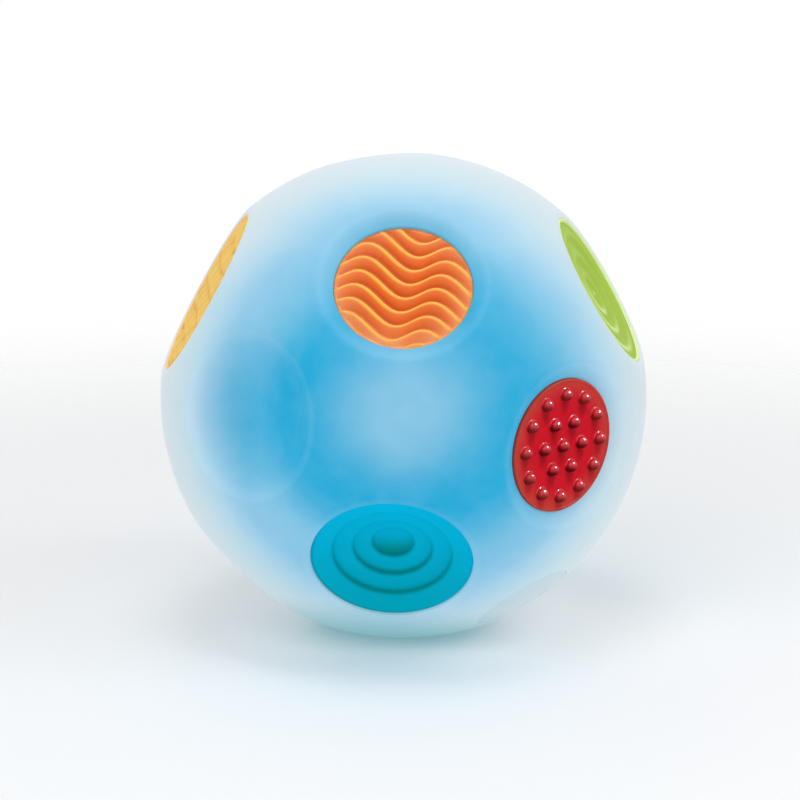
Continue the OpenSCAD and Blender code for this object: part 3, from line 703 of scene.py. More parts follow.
@dataclass(frozen=True)
class GlowingSkin(Finish):
    """Milky skin with lamps behind it: pale over each lamp, deep blue round that, and milky white far away.

    The stops give the colour seen at an angle in degrees from the nearer lamp, and the share of it that is
    the lamp's light. The whole ramp is painted glow of the lamps inside: the lamp's share goes into the
    emission and the rest into the base colour. Before a place is looked up there, its angle is shifted. The
    floor of a bowl is nearer to the lamps than the round of the ball, so it counts as if it lay at a smaller
    angle, the more so the farther off the bowl is (far_from, far_most, in degrees). The light spills less
    low down and to the left, which makes the angle larger, and more at the very top, which makes it smaller:
    this is painted shade low down and to the left and painted light at the very top. A soft drift makes the
    bands uneven.

    A far bowl's floor also gives a little less light, which is painted shade, and the roll round each mouth
    is a little lighter, which is a painted highlight. Round the way under, low in front, the skin is
    multiplied by a teal tint, which is painted shade. Depths below the round of the ball are in millimetres
    here.
    """

    form: BallForm
    front: Facing = Facing(0, 7)
    back: Facing = Facing(180, 7)
    under: Facing = Facing(-15, -75)
    under_shade_tint: Colour = (0.50, 0.78, 0.80)
    under_shade_angles: Span = (33.0, 8.0)
    lamp_height: float = 0.12
    spill_low: float = 10.0
    spill_left: float = 29.0
    spill_low_left: float = 20.0
    spill_ends: Span = (34.0, 48.0)
    nearer_top: float = 4.0
    top: Span = (0.7, 0.86)
    nearer_per_mm: float = 0.75
    nearer_far: float = 0.07
    far_from: float = 42.0
    far_most: float = 14.0
    deepest: float = 11.0
    drift: float = 1.6
    drift_size: float = 30 * MM
    bowl_shade: float = 0.0018
    roll_light: float = 0.035
    roll_starts: Span = (0.02, 0.5)
    roll_ends: Span = (0.5, 3.6)
    milk: Colour = (0.86, 0.93, 0.98)
    milk_patch: float = 0.03
    milk_patch_size: float = 7 * MM
    shade: float = 1.0
    roughness: float = 0.72
    fine_size: float = 0.35 * MM
    fine_depth: float = 0.008 * MM
    # Painted glow of the lamps inside: colour at each angle, and the share of it that goes to the emission;
    # the rest goes to the base colour.
    stops: tuple[tuple[float, Colour, float], ...] = (
        (0, tint(138, 199, 230), 0.62),
        (7, tint(130, 196, 228), 0.62),
        (12, tint(110, 189, 226), 0.62),
        (16, tint(86, 182, 223), 0.62),
        (20, tint(60, 176, 220), 0.62),
        (25, tint(34, 172, 218), 0.60),
        (30, tint(40, 174, 220), 0.58),
        (35, tint(72, 180, 223), 0.54),
        (41, tint(110, 192, 228), 0.50),
        (48, tint(152, 206, 235), 0.46),
        (55, tint(184, 220, 238), 0.44),
        (62, tint(204, 227, 237), 0.42),
        (71, tint(216, 231, 237), 0.42),
        (80, tint(222, 233, 239), 0.42),
        (90, tint(224, 234, 240), 0.42),
    )

    def ramp_stops(self, own_light: bool) -> list[tuple[float, Colour]]:
        """Stops of a ramp over the angles, each a share of the way to the last.

        Args:
            own_light: Whether the colours are those of the lamps' light, or what is left of them.

        Returns:
            Pairs of place and colour.
        """
        last = self.stops[-1][0]
        return [
            (angle / last, dimmed(colour, (lamp if own_light else 1 - lamp) * self.shade))
            for angle, colour, lamp in self.stops
        ]

    def spill(self, shader: Shader, heading: Wire, degrees: Wire) -> Wire:
        """How many degrees farther from the lamps a place counts, because less light spills there.

        Args:
            shader: The shader to add to.
            heading: Direction from the ball's centre to the place.
            degrees: Angle between the place and the nearer lamp.

        Returns:
            The degrees to add.
        """
        # Painted shade low down and to the left, and painted light at the very top, by shifting the glow's
        # angle.
        left = shader.along(heading, LEFT).larger(0.0)
        up = shader.along(heading, UP)
        low = (self.lamp_height - up).larger(0.0)
        less = low * self.spill_low + left * (up.larger(0.0) * self.spill_left + low * self.spill_low_left)
        nearer = shader.span(up, *self.top) * self.nearer_top
        return less * shader.span(degrees, *self.spill_ends, 1.0, 0.0) - nearer

    def made(self) -> bpy.types.Material:
        """Builds the material.

        Returns:
            The material.
        """
        shader = Shader.of_material(self.name)
        away = shader.vector("SUBTRACT", shader.place(), tuple(self.form.centre))
        heading = shader.vector("NORMALIZE", away)
        depth = (self.form.radius / MM - shader.length(away) / MM).held(0.0, self.deepest)
        cosine = shader.along(heading, self.front.out()).larger(shader.along(heading, self.back.out()))
        degrees = cosine.arccos() * (180 / math.pi)
        far = (degrees - self.far_from).held(0.0, self.far_most)
        nearer = depth * (self.nearer_per_mm + far * self.nearer_far)
        drift = (shader.noise(self.drift_size, 1.0) - 0.5) * self.drift
        place = (degrees + self.spill(shader, heading, degrees) - nearer + drift) / self.stops[-1][0]
        # The roll round each mouth is a little lighter, a painted highlight; the milk patches are the skin's
        # own tone.
        roll = shader.span(depth, *self.roll_starts) * shader.span(depth, *self.roll_ends, 1.0, 0.0)
        milk_patches_and_roll_highlight = shader.patches(self.milk_patch_size, self.milk_patch) + roll * self.roll_light
        # The base colour carries the rest of the lamps' painted glow, besides patches of the skin's own
        # milk.
        milky = shader.mix(milk_patches_and_roll_highlight, shader.ramp(place, self.ramp_stops(False)), self.milk)
        # The emission is the lamps' painted glow, a little darker on a far bowl's floor, which is painted
        # shade.
        lit = shader.mix(depth * far * self.bowl_shade, shader.ramp(place, self.ramp_stops(True)), BLACK)
        # Painted shade under the ball, low in front: a teal tint over the base colour and the emission.
        outer, inner = (math.cos(math.radians(angle)) for angle in self.under_shade_angles)
        under_shade = shader.span(shader.along(heading, self.under.out()), outer, inner)
        fine = shader.noise(self.fine_size, 2.0)
        return shader.close(
            {
                "Base Color": shader.mix(under_shade, milky, self.under_shade_tint, "MULTIPLY"),
                "Roughness": self.roughness + fine * 0.1,
                "Emission Color": shader.mix(under_shade, lit, self.under_shade_tint, "MULTIPLY"),
                "Emission Strength": 1.0,
                "Normal": shader.grain(fine, self.fine_depth),
                "IOR": 1.43,
                "Specular IOR Level": 0.1,
            }
        )


@dataclass(frozen=True)
class Rubber(Finish):
    """Coloured rubber of a disc.

    The mesh keeps, as shares at its points, how near a crest or a lit side it is, how much painted shade it
    takes from the form beside it or from the way it faces (wall), how near the disc's pale rim, and how
    glossy. Each has its own colour or its own effect here: the crest colour is a lighter copy of the rubber
    for painted light, and the wall colour a darker copy for painted shade. The rim colour is paler; on the
    orange disc it is painted glow at the edge, and on the green disc it also paints highlight lines. The
    glow is the part of the ball's light that comes through the rubber, painted as emission.
    """

    valley: Colour
    crest: Colour
    wall: Colour
    rim: Colour
    roughness: float = 0.5
    gloss: float = 0.0
    shine: float = 0.05
    glow: float = 0.0
    patch: float = 0.04
    patch_size: float = 5 * MM
    patch_dark: float = 0.5
    dull: float = 0.05
    dull_size: float = 2.2 * MM
    fine_size: float = 0.3 * MM
    fine_depth: float = 0.006 * MM

    def made(self) -> bpy.types.Material:
        """Builds the material.

        Returns:
            The material.
        """
        shader = Shader.of_material(self.name)
        # Painted light in the lighter crest colour, painted shade in the darker wall colour, then the paler
        # rim colour.
        level = shader.mix(shader.mark("crest"), self.valley, self.crest)
        sided = shader.mix(shader.mark("wall"), level, self.wall)
        edged = shader.mix(shader.mark("rim"), sided, self.rim)
        patch = shader.patches(self.patch_size, self.patch)
        coloured = shader.mix(patch, edged, dimmed(self.wall, self.patch_dark))
        fine = shader.noise(self.fine_size, 2.0)
        dull = shader.patches(self.dull_size, self.dull, (0.35, 0.75))
        # The emission is painted glow: the ball's light that comes through the rubber.
        return shader.close(
            {
                "Base Color": coloured,
                "Roughness": self.roughness + dull + 0.03 * fine,
                "Coat Weight": shader.mark("gloss") * self.gloss,
                "Coat Roughness": 0.08,
                "Coat IOR": 1.5,
                "Emission Color": coloured,
                "Emission Strength": self.glow,
                "Normal": shader.grain(fine, self.fine_depth),
                "IOR": 1.41,
                "Specular IOR Level": self.shine,
            }
        )


@dataclass(frozen=True)
class Moulding(Finish):
    """Hard moulded plastic with a fine spark-eroded texture."""

    colour: Colour
    roughness: float = 0.45
    texture: float = 0.02 * MM
    texture_size: float = 0.25 * MM
    flow: float = 0.12
    flow_size: float = 12 * MM
    flow_dark: float = 0.86

    def made(self) -> bpy.types.Material:
        """Builds the material.

        Returns:
            The material.
        """
        shader = Shader.of_material(self.name)
        fine = shader.noise(self.texture_size, 3.0)
        flow = shader.patches(self.flow_size, self.flow, detail=2.0)
        return shader.close(
            {
                "Base Color": shader.mix(flow, self.colour, dimmed(self.colour, self.flow_dark)),
                "Roughness": self.roughness + 0.12 * fine,
                "Normal": shader.grain(fine, self.texture),
            }
        )


@dataclass(frozen=True)
class Metal(Finish):
    """Metal with fine drawn lines and small dull patches."""

    colour: Colour
    roughness: float = 0.3
    lines: Triple = (1.0, 1.0, 0.15)
    line_size: float = 0.2 * MM
    line_depth: float = 0.006 * MM
    dull_size: float = 1.6 * MM
    dull_dark: float = 0.72

    def made(self) -> bpy.types.Material:
        """Builds the material.

        Returns:
            The material.
        """
        shader = Shader.of_material(self.name)
        drawn = shader.noise(self.line_size, 2.0, self.lines)
        dull = shader.patches(self.dull_size, edges=(0.4, 0.7))
        return shader.close(
            {
                "Base Color": shader.mix(dull, self.colour, dimmed(self.colour, self.dull_dark)),
                "Metallic": 1.0,
                "Roughness": self.roughness + 0.18 * dull,
                "Normal": shader.grain(drawn, self.line_depth),
            }
        )


@dataclass(frozen=True)
class ClearLens(Finish):
    """Milky or clear plastic over a lamp, lit from inside."""

    colour: Colour
    light: Colour
    strength: float
    roughness: float = 0.25
    cloud: float = 0.2
    cloud_size: float = 3 * MM
    fine_size: float = 0.5 * MM
    fine_depth: float = 0.008 * MM

    def made(self) -> bpy.types.Material:
        """Builds the material.

        Returns:
            The material.
        """
        shader = Shader.of_material(self.name)
        cloud = shader.patches(self.cloud_size, self.cloud, detail=2.0)
        return shader.close(
            {
                "Base Color": shader.mix(cloud, self.colour, self.light),
                "Roughness": self.roughness + 0.08 * cloud,
                "Emission Color": self.light,
                "Emission Strength": self.strength,
                "Normal": shader.grain(shader.noise(self.fine_size), self.fine_depth),
            }
        )


# For each rubber, valley is its base tone, crest a lighter copy for painted light, wall a darker copy for
# painted shade, and rim a paler copy for the edge.
RUBBERS: dict[Touch, Rubber] = {
    Touch.WAVES: Rubber(
        "orange_rubber",
        valley=tint(232, 106, 30),
        crest=tint(254, 178, 48),
        wall=tint(172, 52, 20),
        rim=tint(246, 170, 112),
        shine=0.1,
        glow=0.08,
    ),
    Touch.NUBS: Rubber(
        "red_rubber",
        valley=tint(212, 10, 34),
        crest=tint(230, 30, 48),
        wall=tint(96, 2, 16),
        rim=tint(204, 72, 60),
        gloss=1.0,
    ),
    Touch.STEPS: Rubber(
        "cyan_rubber",
        valley=tint(0, 144, 164),
        crest=tint(0, 163, 201),
        wall=tint(0, 122, 124),
        rim=tint(0, 158, 194),
        roughness=0.7,
        shine=0.03,
        glow=0.4,
    ),
    Touch.FACETS: Rubber(
        "yellow_rubber",
        valley=tint(221, 178, 86),
        crest=tint(229, 194, 113),
        wall=tint(196, 140, 50),
        rim=tint(234, 198, 144),
        roughness=0.6,
        glow=0.24,
    ),
    Touch.RINGS: Rubber(
        "green_rubber",
        valley=tint(162, 192, 70),
        crest=tint(178, 206, 88),
        wall=tint(128, 164, 46),
        rim=tint(224, 240, 172),
        roughness=0.45,
        glow=0.1,
    ),
}


# Discs


@dataclass(frozen=True)
class Disc:
    """What all discs share: a round body with rounded edges. Fronts are drawn at the front edge's plane.

    Edges of the mesh that turn by more than the crease, in degrees, stay sharp.
    """

    seat: Seat
    edge: float = 0.5 * MM
    edge_steps: int = 8
    foot_edge: float = 0.2 * MM
    foot_steps: int = 4
    turns: int = 256
    crease: ClassVar[float] = 40.0

    def body(self, to_radius: float) -> np.ndarray:
        """Outline from the lower pole round the side and the rounded edge, then flat in to a radius.

        Args:
            to_radius: Where the outline ends.

        Returns:
            Points of (distance from the axis, height).
        """
        r, t, e, f = self.seat.disc_r, self.seat.thick, self.edge, self.foot_edge
        foot = np.array([[0.0, -t], [r / 2, -t]])
        low = arc(r - f, f - t, f, -90, 0, self.foot_steps)
        high = arc(r - e, -e, e, 0, 90, self.edge_steps)
        return np.concatenate([foot, low, high, [[to_radius, 0.0]]])

    def shell(self) -> Shell:
        """Each kind builds the whole disc here, with its front's edge at z = 0 and its marks."""
        raise NotImplementedError

    def refine(self, piece: bpy.types.Object, up: np.ndarray) -> None:
        """Last touches on the placed disc, of which most kinds need none.

        Args:
            piece: The disc.
            up: Direction of the disc's own up.
        """


@dataclass(frozen=True)
class WaveDisc(Disc):
    """Orange disc with wavy ridges that fall to the right, each a little to the right of the one below.

    The marks are shares: line_share and line_w set how wide a crest line is, which is painted light along
    the lit upper shoulder of each ridge, the shade fields how far the painted shade reaches up from the foot
    of a flank, and the pale fields how the rubber pales towards its edge and low down, which is painted
    glow.
    """

    period: float = 19.6 * MM
    swing: float = 2.6 * MM
    pitch: float = 4.28 * MM
    drift: float = 1.15 * MM
    fall: float = math.tan(math.radians(15.4))
    mid_u: float = -9.2 * MM
    mid_v: float = 3.8 * MM
    ridge_h: float = 0.9 * MM
    flank: float = 0.95 * MM
    swell: float = 2.2
    floor: float = 0.6 * MM
    line_w: float = 0.55 * MM
    line_share: float = 1.3
    shade_from: float = 0.2
    shade_reach: float = 0.75
    shade_power: float = 1.6
    level_shade: float = 0.6
    falls_from: float = 0.4
    front_pale_tilt: Span = (0.6, -0.35)
    edge_pale_tilt: Span = (0.55, -0.35)
    pale_power: float = 5
    pale_off_line: float = 0.6
    blend: float = 0.3 * MM
    fade: float = 0.9 * MM
    rings: int = 120
    rounds: int = 12

    def ridge(self, u: np.ndarray, v: np.ndarray) -> tuple[np.ndarray, np.ndarray, np.ndarray]:
        """Height share of the ridges at each point, how near a crest line is, and how shaded the point is.

        Ridge n runs along v = mid_v + n pitch - fall u + swing cos(2 pi (u - mid_u - n drift) / period).
        For a point, n is found by putting it into the cosine again and again, which settles in a few
        rounds, and its fraction tells how far the point lies from the crest below to the crest above.
        Above a crest the surface drops as cos² over a short flank, and from there it climbs in a swelling
        curve, 1 - (1 - t)^swell, to the next crest. The shade is painted shade, deepest where a ridge falls
        to the right, and the crest line is painted light.

        Args:
            u: Distances to the right of the middle.
            v: Distances above the middle.

        Returns:
            Shares from 0 to 1: height, crest line, shade.
        """
        turn = 2 * math.pi / self.period
        n = (v - self.mid_v + self.fall * u) / self.pitch
        for _ in range(self.rounds):
            bend = self.swing * np.cos(turn * (u - self.mid_u - n * self.drift))
            n = (v - self.mid_v + self.fall * u - bend) / self.pitch
        part = n - np.floor(n)
        slope = -self.fall - self.swing * turn * np.sin(turn * (u - self.mid_u - n * self.drift))
        gap = self.pitch / np.sqrt(1 + slope**2)
        foot = self.flank / gap
        drop = np.cos(held(part / foot) * math.pi / 2) ** 2
        climb = 1 - (1 - held((part - foot) / (1 - foot))) ** self.swell
        crest = held(self.line_share - np.minimum(part, 1 - part) * gap / self.line_w)
        steep = self.level_shade + (1 - self.level_shade) * held(self.falls_from - slope)
        near_foot = 1 - held((part - self.shade_from * foot) / self.shade_reach)
        shade = near_foot**self.shade_power * steep * (1 - crest)
        return np.where(part < foot, drop, climb), crest, shade

    def shell(self) -> Shell:
        """The disc's body, then the ridged front on rings that go in to the middle.

        Returns:
            The disc.
        """
        r = self.seat.disc_r
        turns = self.turns * 2
        rim = self.body(r - self.edge)
        inner = np.linspace(r - self.edge, 0.0, self.rings)[1:]
        radii = np.concatenate([rim[:, 0], inner])
        u = radii[:, None] * np.cos(once_round(turns))
        v = radii[:, None] * np.sin(once_round(turns))
        height, crest, shade = self.ridge(u, v)
        base = np.concatenate([rim[:, 1], np.zeros(len(inner))])[:, None]
        fade = np.concatenate([np.zeros(len(rim)), held((inner[0] - inner + self.blend) / self.fade)])
        relief = (fade * fade * (3 - 2 * fade))[:, None]
        shown = held((r - radii) / self.blend)[:, None]
        # Painted glow: paler towards the edge and low down, and on the edge band.
        pale = held(radii / r)[:, None] ** self.pale_power * tilted(self.front_pale_tilt, v / r)
        edge_painted_glow = (1 - shown) * tilted(self.edge_pale_tilt, v / r)
        # crest carries the painted light of the crest lines, wall the painted shade above them, rim the
        # painted glow.
        marks = {
            "crest": crest * shown,
            "wall": shade * shown * (1 - pale),
            "rim": held(pale + edge_painted_glow) * (1 - self.pale_off_line * crest * shown),
        }
        return turned(radii, base + (height * self.ridge_h - self.floor) * relief, turns, marks)


@dataclass(frozen=True)
class NubDisc(Disc):
    """Red disc with a sunk floor and nubs: one at the middle, six round it and twelve round those.

    Below each nub the floor takes a painted shadow in an oval, of shadow_w by shadow_l. The rim pales from
    pale_from of the disc's radius outwards. The tilts give a nub's marks at its middle and how they change
    upwards: painted light on its upper side, painted shade on its lower side, and coat on its upper side.
    """

    nub_r: float = 1.6 * MM
    nub_h: float = 2.0 * MM
    ring_r: float = 6.7 * MM
    floor: float = 0.3 * MM
    sunk: float = 0.3 * MM
    band: float = 0.6 * MM
    fillet: float = 0.3 * MM
    shadow_w: float = 1.3 * MM
    shadow_l: float = 2.4 * MM
    shadow_drop: float = 2.4 * MM
    shadow_share: float = 1.5
    pale_from: float = 0.62
    nub_pale_from: float = 0.55
    pale_power: float = 1.6
    floor_crest: float = 0.3
    painted_light_tilt: Span = (0.2, 0.8)
    painted_shade_tilt: Span = (0.55, -1.1)
    gloss_tilt: Span = (0.45, 1.2)
    rings: int = 60
    nub_turns: int = 32
    tip_steps: int = 12
    fillet_steps: int = 5

    def places(self) -> np.ndarray:
        """Middles of the 19 nubs, k ring_r from the middle at 6 k equal steps round, for k of 0, 1 and 2.

        Returns:
            Their distances to the right and up.
        """
        near, far = once_round(6), once_round(12)
        ring = self.ring_r * np.stack([np.cos(near), np.sin(near)], axis=1)
        outer = 2 * self.ring_r * np.stack([np.cos(far), np.sin(far)], axis=1)
        return np.concatenate([[[0.0, 0.0]], ring, outer])

    def pale(self, share: np.ndarray, start: float) -> np.ndarray:
        """How pale the rubber is at a share of the disc's radius, from a starting share outwards."""
        return held((share - start) / (1 - start)) ** self.pale_power

    def nub(self) -> Shell:
        """One nub, shaded below and glossy above.

        Its outline goes up the fillet, a quarter of a circle, to nub_r, and over the tip, a quarter of a
        circle of radius nub_r round the height nub_h - nub_r.

        Returns:
            The nub, on the floor's middle.
        """
        f, n = self.fillet, self.nub_r
        foot = [[0.0, -self.sunk], [n + f, -self.sunk]]
        root = arc(n + f, f, f, -90, -180, self.fillet_steps)
        outline = np.concatenate([foot, root, arc(0.0, self.nub_h - n, n, 0, 90, self.tip_steps)])
        outline[-1, 0] = 0.0
        nub = lathe(outline, self.nub_turns)
        side = nub.points[:, 1] / n
        # Painted light on the nub's upper side and painted shade on its lower side.
        nub.marks = {
            "crest": tilted(self.painted_light_tilt, side),
            "wall": tilted(self.painted_shade_tilt, side),
            "gloss": tilted(self.gloss_tilt, side),
        }
        return nub

    def shell(self) -> Shell:
        """The disc's body and floor, and a nub at each place.

        Returns:
            The disc.
        """
        r = self.seat.disc_r
        rim = self.body(r - self.band)
        inner = np.linspace(r - self.band - self.floor, 0.0, self.rings)
        radii = np.concatenate([rim[:, 0], inner])
        base = np.concatenate([rim[:, 1], np.full(len(inner), -self.floor)])
        x = radii[:, None, None] * np.cos(once_round(self.turns))[:, None]
        y = radii[:, None, None] * np.sin(once_round(self.turns))[:, None]
        spots = self.places()
        # Painted shadow in an oval below each nub.
        across = (x - spots[:, 0]) / self.shadow_w
        down = (y - spots[:, 1] + self.shadow_drop) / self.shadow_l
        shade = held(self.shadow_share - np.min(np.hypot(across, down), axis=-1))
        pale = self.pale(radii / r, self.pale_from)[:, None]
        crest = np.full(shade.shape, self.floor_crest)
        # wall carries the painted shadow; crest is a fixed share of the lighter colour on the floor.
        marks = {"wall": shade / 2, "rim": pale * (1 - shade / 2), "crest": crest}
        pieces = [turned(radii, base, self.turns, marks)]
        nub = self.nub()
        for px, py in spots:
            one = nub.placed(np.eye(3), np.array([px, py, -self.floor]))
            pale_here = self.pale(math.hypot(px, py) / r, self.nub_pale_from) / 2
            one.marks = {**nub.marks, "rim": np.full(len(nub.points), pale_here)}
            pieces.append(one)
        return Shell.joined(pieces)


@dataclass(frozen=True)
class StepDisc(Disc):
    """Cyan disc whose steps go down to a round well. Each step has a rounded edge and a rounded foot.

    Painted shade darkens the rubber low in the well and on the walls that look up, standing in for less of
    the ball's light coming through, and along the lip at its lower left, at the angle lip_side in degrees.
    The tilts give how dark the well and the walls are at the middle and how that changes upwards, and how
    much painted light makes the disc lighter towards its top.
    """

    radii: Triple = (15.2 * MM, 10.1 * MM, 5.3 * MM)
    dish: float = 1.6 * MM
    dish_power: float = 0.8
    drop: float = 2.0 * MM
    soft: float = 0.9 * MM
    soft_steps: int = 8
    tread_steps: int = 11
    well_share: float = 0.4
    well_tilt: Span = (0.1, -0.9)
    painted_shade_tilt: Span = (0.4, -0.75)
    painted_light_tilt: Span = (0.5, 0.5)
    lip_width: float = 0.75 * MM
    lip_side: float = 225.2
    lip_painted_shade: float = 0.6

    def shell(self) -> Shell:
        """The disc turned from its outline.

        From the flat edge a tread falls by dish times (share of the way in)^dish_power to the first step.
        Each step is a quarter-circle over its edge and another at its foot, drop lower. A point's wall mark
        is sin² of how far its quarter-circle has turned upright.

        Returns:
            The disc.
        """
        flat_r = self.seat.disc_r - self.edge
        s = self.soft
        fall = np.linspace(0, 1, self.tread_steps + 1)[1:-1]
        tread_r = flat_r + (self.radii[0] + s - flat_r) * fall
        pieces = [self.body(flat_r), np.stack([tread_r, -self.dish * fall**self.dish_power], axis=1)]
        walls = [np.zeros(len(piece)) for piece in pieces]
        upright = np.sin(np.linspace(0, math.pi / 2, self.soft_steps + 1)) ** 2
        for k, r in enumerate(self.radii):
            high = -self.dish - k * self.drop
            pieces.append(arc(r + s, high - s, s, 90, 180, self.soft_steps))
            pieces.append(arc(r - s, high - self.drop + s, s, 0, -90, self.soft_steps))
            walls += [upright, upright[::-1]]
        well_r = self.radii[-1]
        bottom = -self.dish - len(self.radii) * self.drop
        pieces.append(np.array([[well_r * self.well_share, bottom], [0.0, bottom]]))
        walls.append(np.zeros(2))
        outline = np.concatenate(pieces)
        around = once_round(self.turns)
        reach = outline[:, :1]
        up = np.sin(around)
        v = reach * up
        # Painted shade low in the well, on the lower walls and along the lower left lip; painted light
        # towards the top.
        well = np.where(reach < well_r, tilted(self.well_tilt, v / well_r), 0)
        painted_wall_shade = np.concatenate(walls)[:, None] * tilted(self.painted_shade_tilt, up)
        toward = around - math.radians(self.lip_side)
        lip = (reach > self.seat.disc_r - self.lip_width) * held(np.cos(toward))
        wall = np.maximum(np.maximum(well, painted_wall_shade), self.lip_painted_shade * lip)
        marks = {"wall": wall, "crest": tilted(self.painted_light_tilt, v / reach.max())}
        return turned(outline[:, 0], outline[:, 1], self.turns, marks)


@dataclass(frozen=True)
class FacetDisc(Disc):
    """Yellow disc of low three-sided pyramids, whose corners lie on rings of 6, 12 and 18 points.

    A face that looks down takes painted shade once the downward part of its normal is past the first of
    dark_from, and fully at the second. The corners take the darker valley colour and the tips the lighter
    crest colour, which is painted shade in the creases and painted light on the tips.
    """

    rings: int = 3
    height: float = 0.7 * MM
    floor: float = 0.5 * MM
    sunk: float = 0.5 * MM
    valley: float = 0.15 * MM
    band: float = 0.8 * MM
    front_band: float = 0.48 * MM
    floor_step: float = 0.2 * MM
    bevel: float = 0.16 * MM
    bevel_angle: float = 12.0
    body_crest: float = 0.6
    dark: float = 0.6
    dark_from: Span = (0.12, 0.28)
    crease: ClassVar[float] = 8.0

    def lattice(self) -> tuple[np.ndarray, np.ndarray]:
        """Corners on rings round the middle, and the triangles between one ring and the next.

        Ring k has 6 k corners. Its corner j is at the angle 60 j / k degrees and the radius
        (disc - band) k / rings. Each corner starts a triangle that points inwards and, but for the first
        corner of each of the six sides, one that points outwards.

        Returns:
            The corners, and the corner numbers of each triangle.
        """
        reach = self.seat.disc_r - self.band
        corners = [np.zeros((1, 2))]
        triangles = []

        def number(k: int, j: np.ndarray) -> np.ndarray:
            """Numbers of the corners j on ring k, of which ring 0 has one."""
            return 1 + 3 * k * (k - 1) + j % (6 * k) if k else np.zeros_like(j)

        for k in range(1, self.rings + 1):
            around = once_round(6 * k)
            corners.append(reach * k / self.rings * np.stack([np.cos(around), np.sin(around)], axis=1))
            j = np.arange(6 * k)
            side, step = np.divmod(j, k)
            here, after = number(k, j), number(k, j + 1)
            inner = number(k - 1, side * (k - 1) + step)
            before = number(k - 1, side * (k - 1) + step - 1)
            triangles.append(np.stack([here, after, inner], axis=1))
            triangles.append(np.stack([before, here, inner], axis=1)[step > 0])
        return np.concatenate(corners), np.concatenate(triangles)

    def shell(self) -> Shell:
        """The pyramids on their own foot, with the disc's body round them.

        Returns:
            The disc.
        """
        corners, triangles = self.lattice()
        tips = corners[triangles].mean(axis=1)
        outer = 6 * self.rings
        start = len(corners) - outer
        under = len(corners) + len(tips)
        points = np.concatenate(
            [
                np.column_stack([corners, np.full(len(corners), self.valley - self.floor)]),
                np.column_stack([tips, np.full(len(tips), self.height - self.floor)]),
                np.column_stack([corners[start:], np.full(outer, -self.floor - self.sunk)]),
                [[0.0, 0.0, -self.floor - self.sunk]],
            ]
        )
        tip = np.arange(len(tips)) + len(corners)
        sides = [np.stack([triangles[:, k], triangles[:, (k + 1) % 3], tip], axis=1) for k in range(3)]
        here = np.arange(outer)
        after = (here + 1) % outer
        walls = np.stack([start + here, under + here, under + after, start + after], axis=1)
        base = np.stack([np.full(outer, len(points) - 1), under + after, under + here], axis=1)
        # Lighter at the tips and darker at the corners: painted light on the tips and painted shade in the
        # creases.
        crest = np.concatenate([np.zeros(len(corners)), np.ones(len(tips)), np.zeros(outer + 1)])
        pyramids = Shell(points, walls, np.concatenate([*sides, base]), {"crest": crest})
        front_r = self.seat.disc_r - self.front_band
        inner = [[front_r - self.floor_step, -self.floor], [0.0, -self.floor]]
        body = lathe(np.concatenate([self.body(front_r), inner]), self.turns)
        size = len(body.points)
        body.marks = {"crest": np.full(size, self.body_crest), "rim": np.ones(size)}
        return Shell.joined([pyramids, body])

    def refine(self, piece: bpy.types.Object, up: np.ndarray) -> None:
        """Darkens the faces that look down, where less light comes through, and softens the edges.

        Args:
            piece: The disc.
            up: Direction of the disc's own up.
        """
        mesh = piece.data
        normals = np.zeros(len(mesh.polygons) * 3, dtype=np.float32)
        mesh.polygons.foreach_get("normal", normals)
        # Painted shade on the faces that look down.
        start, full = self.dark_from
        down = held((-normals.reshape(-1, 3) @ up - start) / (full - start))
        kept = mesh.attributes.new("wall", "FLOAT", "FACE")
        kept.data.foreach_set("value", (self.dark * down).astype(np.float32))
        bevel = piece.modifiers.new("soft_edges", "BEVEL")
        bevel.width = self.bevel
        bevel.segments = 2
        bevel.limit_method = "ANGLE"
        bevel.angle_limit = math.radians(self.bevel_angle)


@dataclass(frozen=True)
class RingDisc(Disc):
    """Green disc: round ridges on a shallow hollow, inside a thin raised edge.

    As seen from outside, the crests take painted light, more to the left, and low on the left each has a
    painted highlight line, which is strongest line_turn degrees before the lowest place.
    """

    hollow: float = 1.9 * MM
    ridge_h: float = 0.7 * MM
    pitch: float = 5.8 * MM
    band: float = 1.0 * MM
    line_turn: float = 51.6
    painted_highlight_share: float = 0.9
    line_power: float = 1.5
    painted_light_tilt: Span = (0.6, 0.4)
    rings: int = 90

    def shell(self) -> Shell:
        """The disc turned from its outline.

        At the share s of the hollow's radius, the height is
        ridge cos²(pi x / pitch) (1 - s⁸) - hollow (1 - s²), less the edge's rounding.

        Returns:
            The disc.
        """
        r, e = self.seat.disc_r, self.edge
        reach = r - self.band
        x = np.linspace(reach, 0.0, self.rings)
        share = x / reach
        wave = np.cos(math.pi * x / self.pitch) ** 2
        level = self.ridge_h * wave * (1 - share**8) - self.hollow * (1 - share**2) - e
        side = self.body(r - e)[:-1]
        lip = arc(r - e, -e, e, 90, 180, self.edge_steps)[1:]
        outline = np.concatenate([side, lip, np.column_stack([x, level])[1:]])
        on_edge = len(side) + len(lip)
        around = once_round(self.turns)
        # Painted highlight lines low on the left of the ridges, and painted light on the crests, more to the
        # left.
        low = held(-np.sin(around + math.radians(self.line_turn))) ** self.line_power
        line = np.concatenate([np.zeros(on_edge), held(wave[1:] * 2 - 1) ** 2])[:, None] * low
        crest = np.concatenate([np.ones(on_edge), wave[1:] ** 2])[:, None]
        marks = {
            "crest": crest * tilted(self.painted_light_tilt, -np.cos(around)),
            "rim": np.where(np.arange(len(outline))[:, None] < on_edge, 1.0, self.painted_highlight_share * line),
        }
        return turned(outline[:, 0], outline[:, 1], self.turns, marks)


MAKERS: dict[Touch, type[Disc]] = {
    Touch.WAVES: WaveDisc,
    Touch.NUBS: NubDisc,
    Touch.STEPS: StepDisc,
    Touch.FACETS: FacetDisc,
    Touch.RINGS: RingDisc,
}


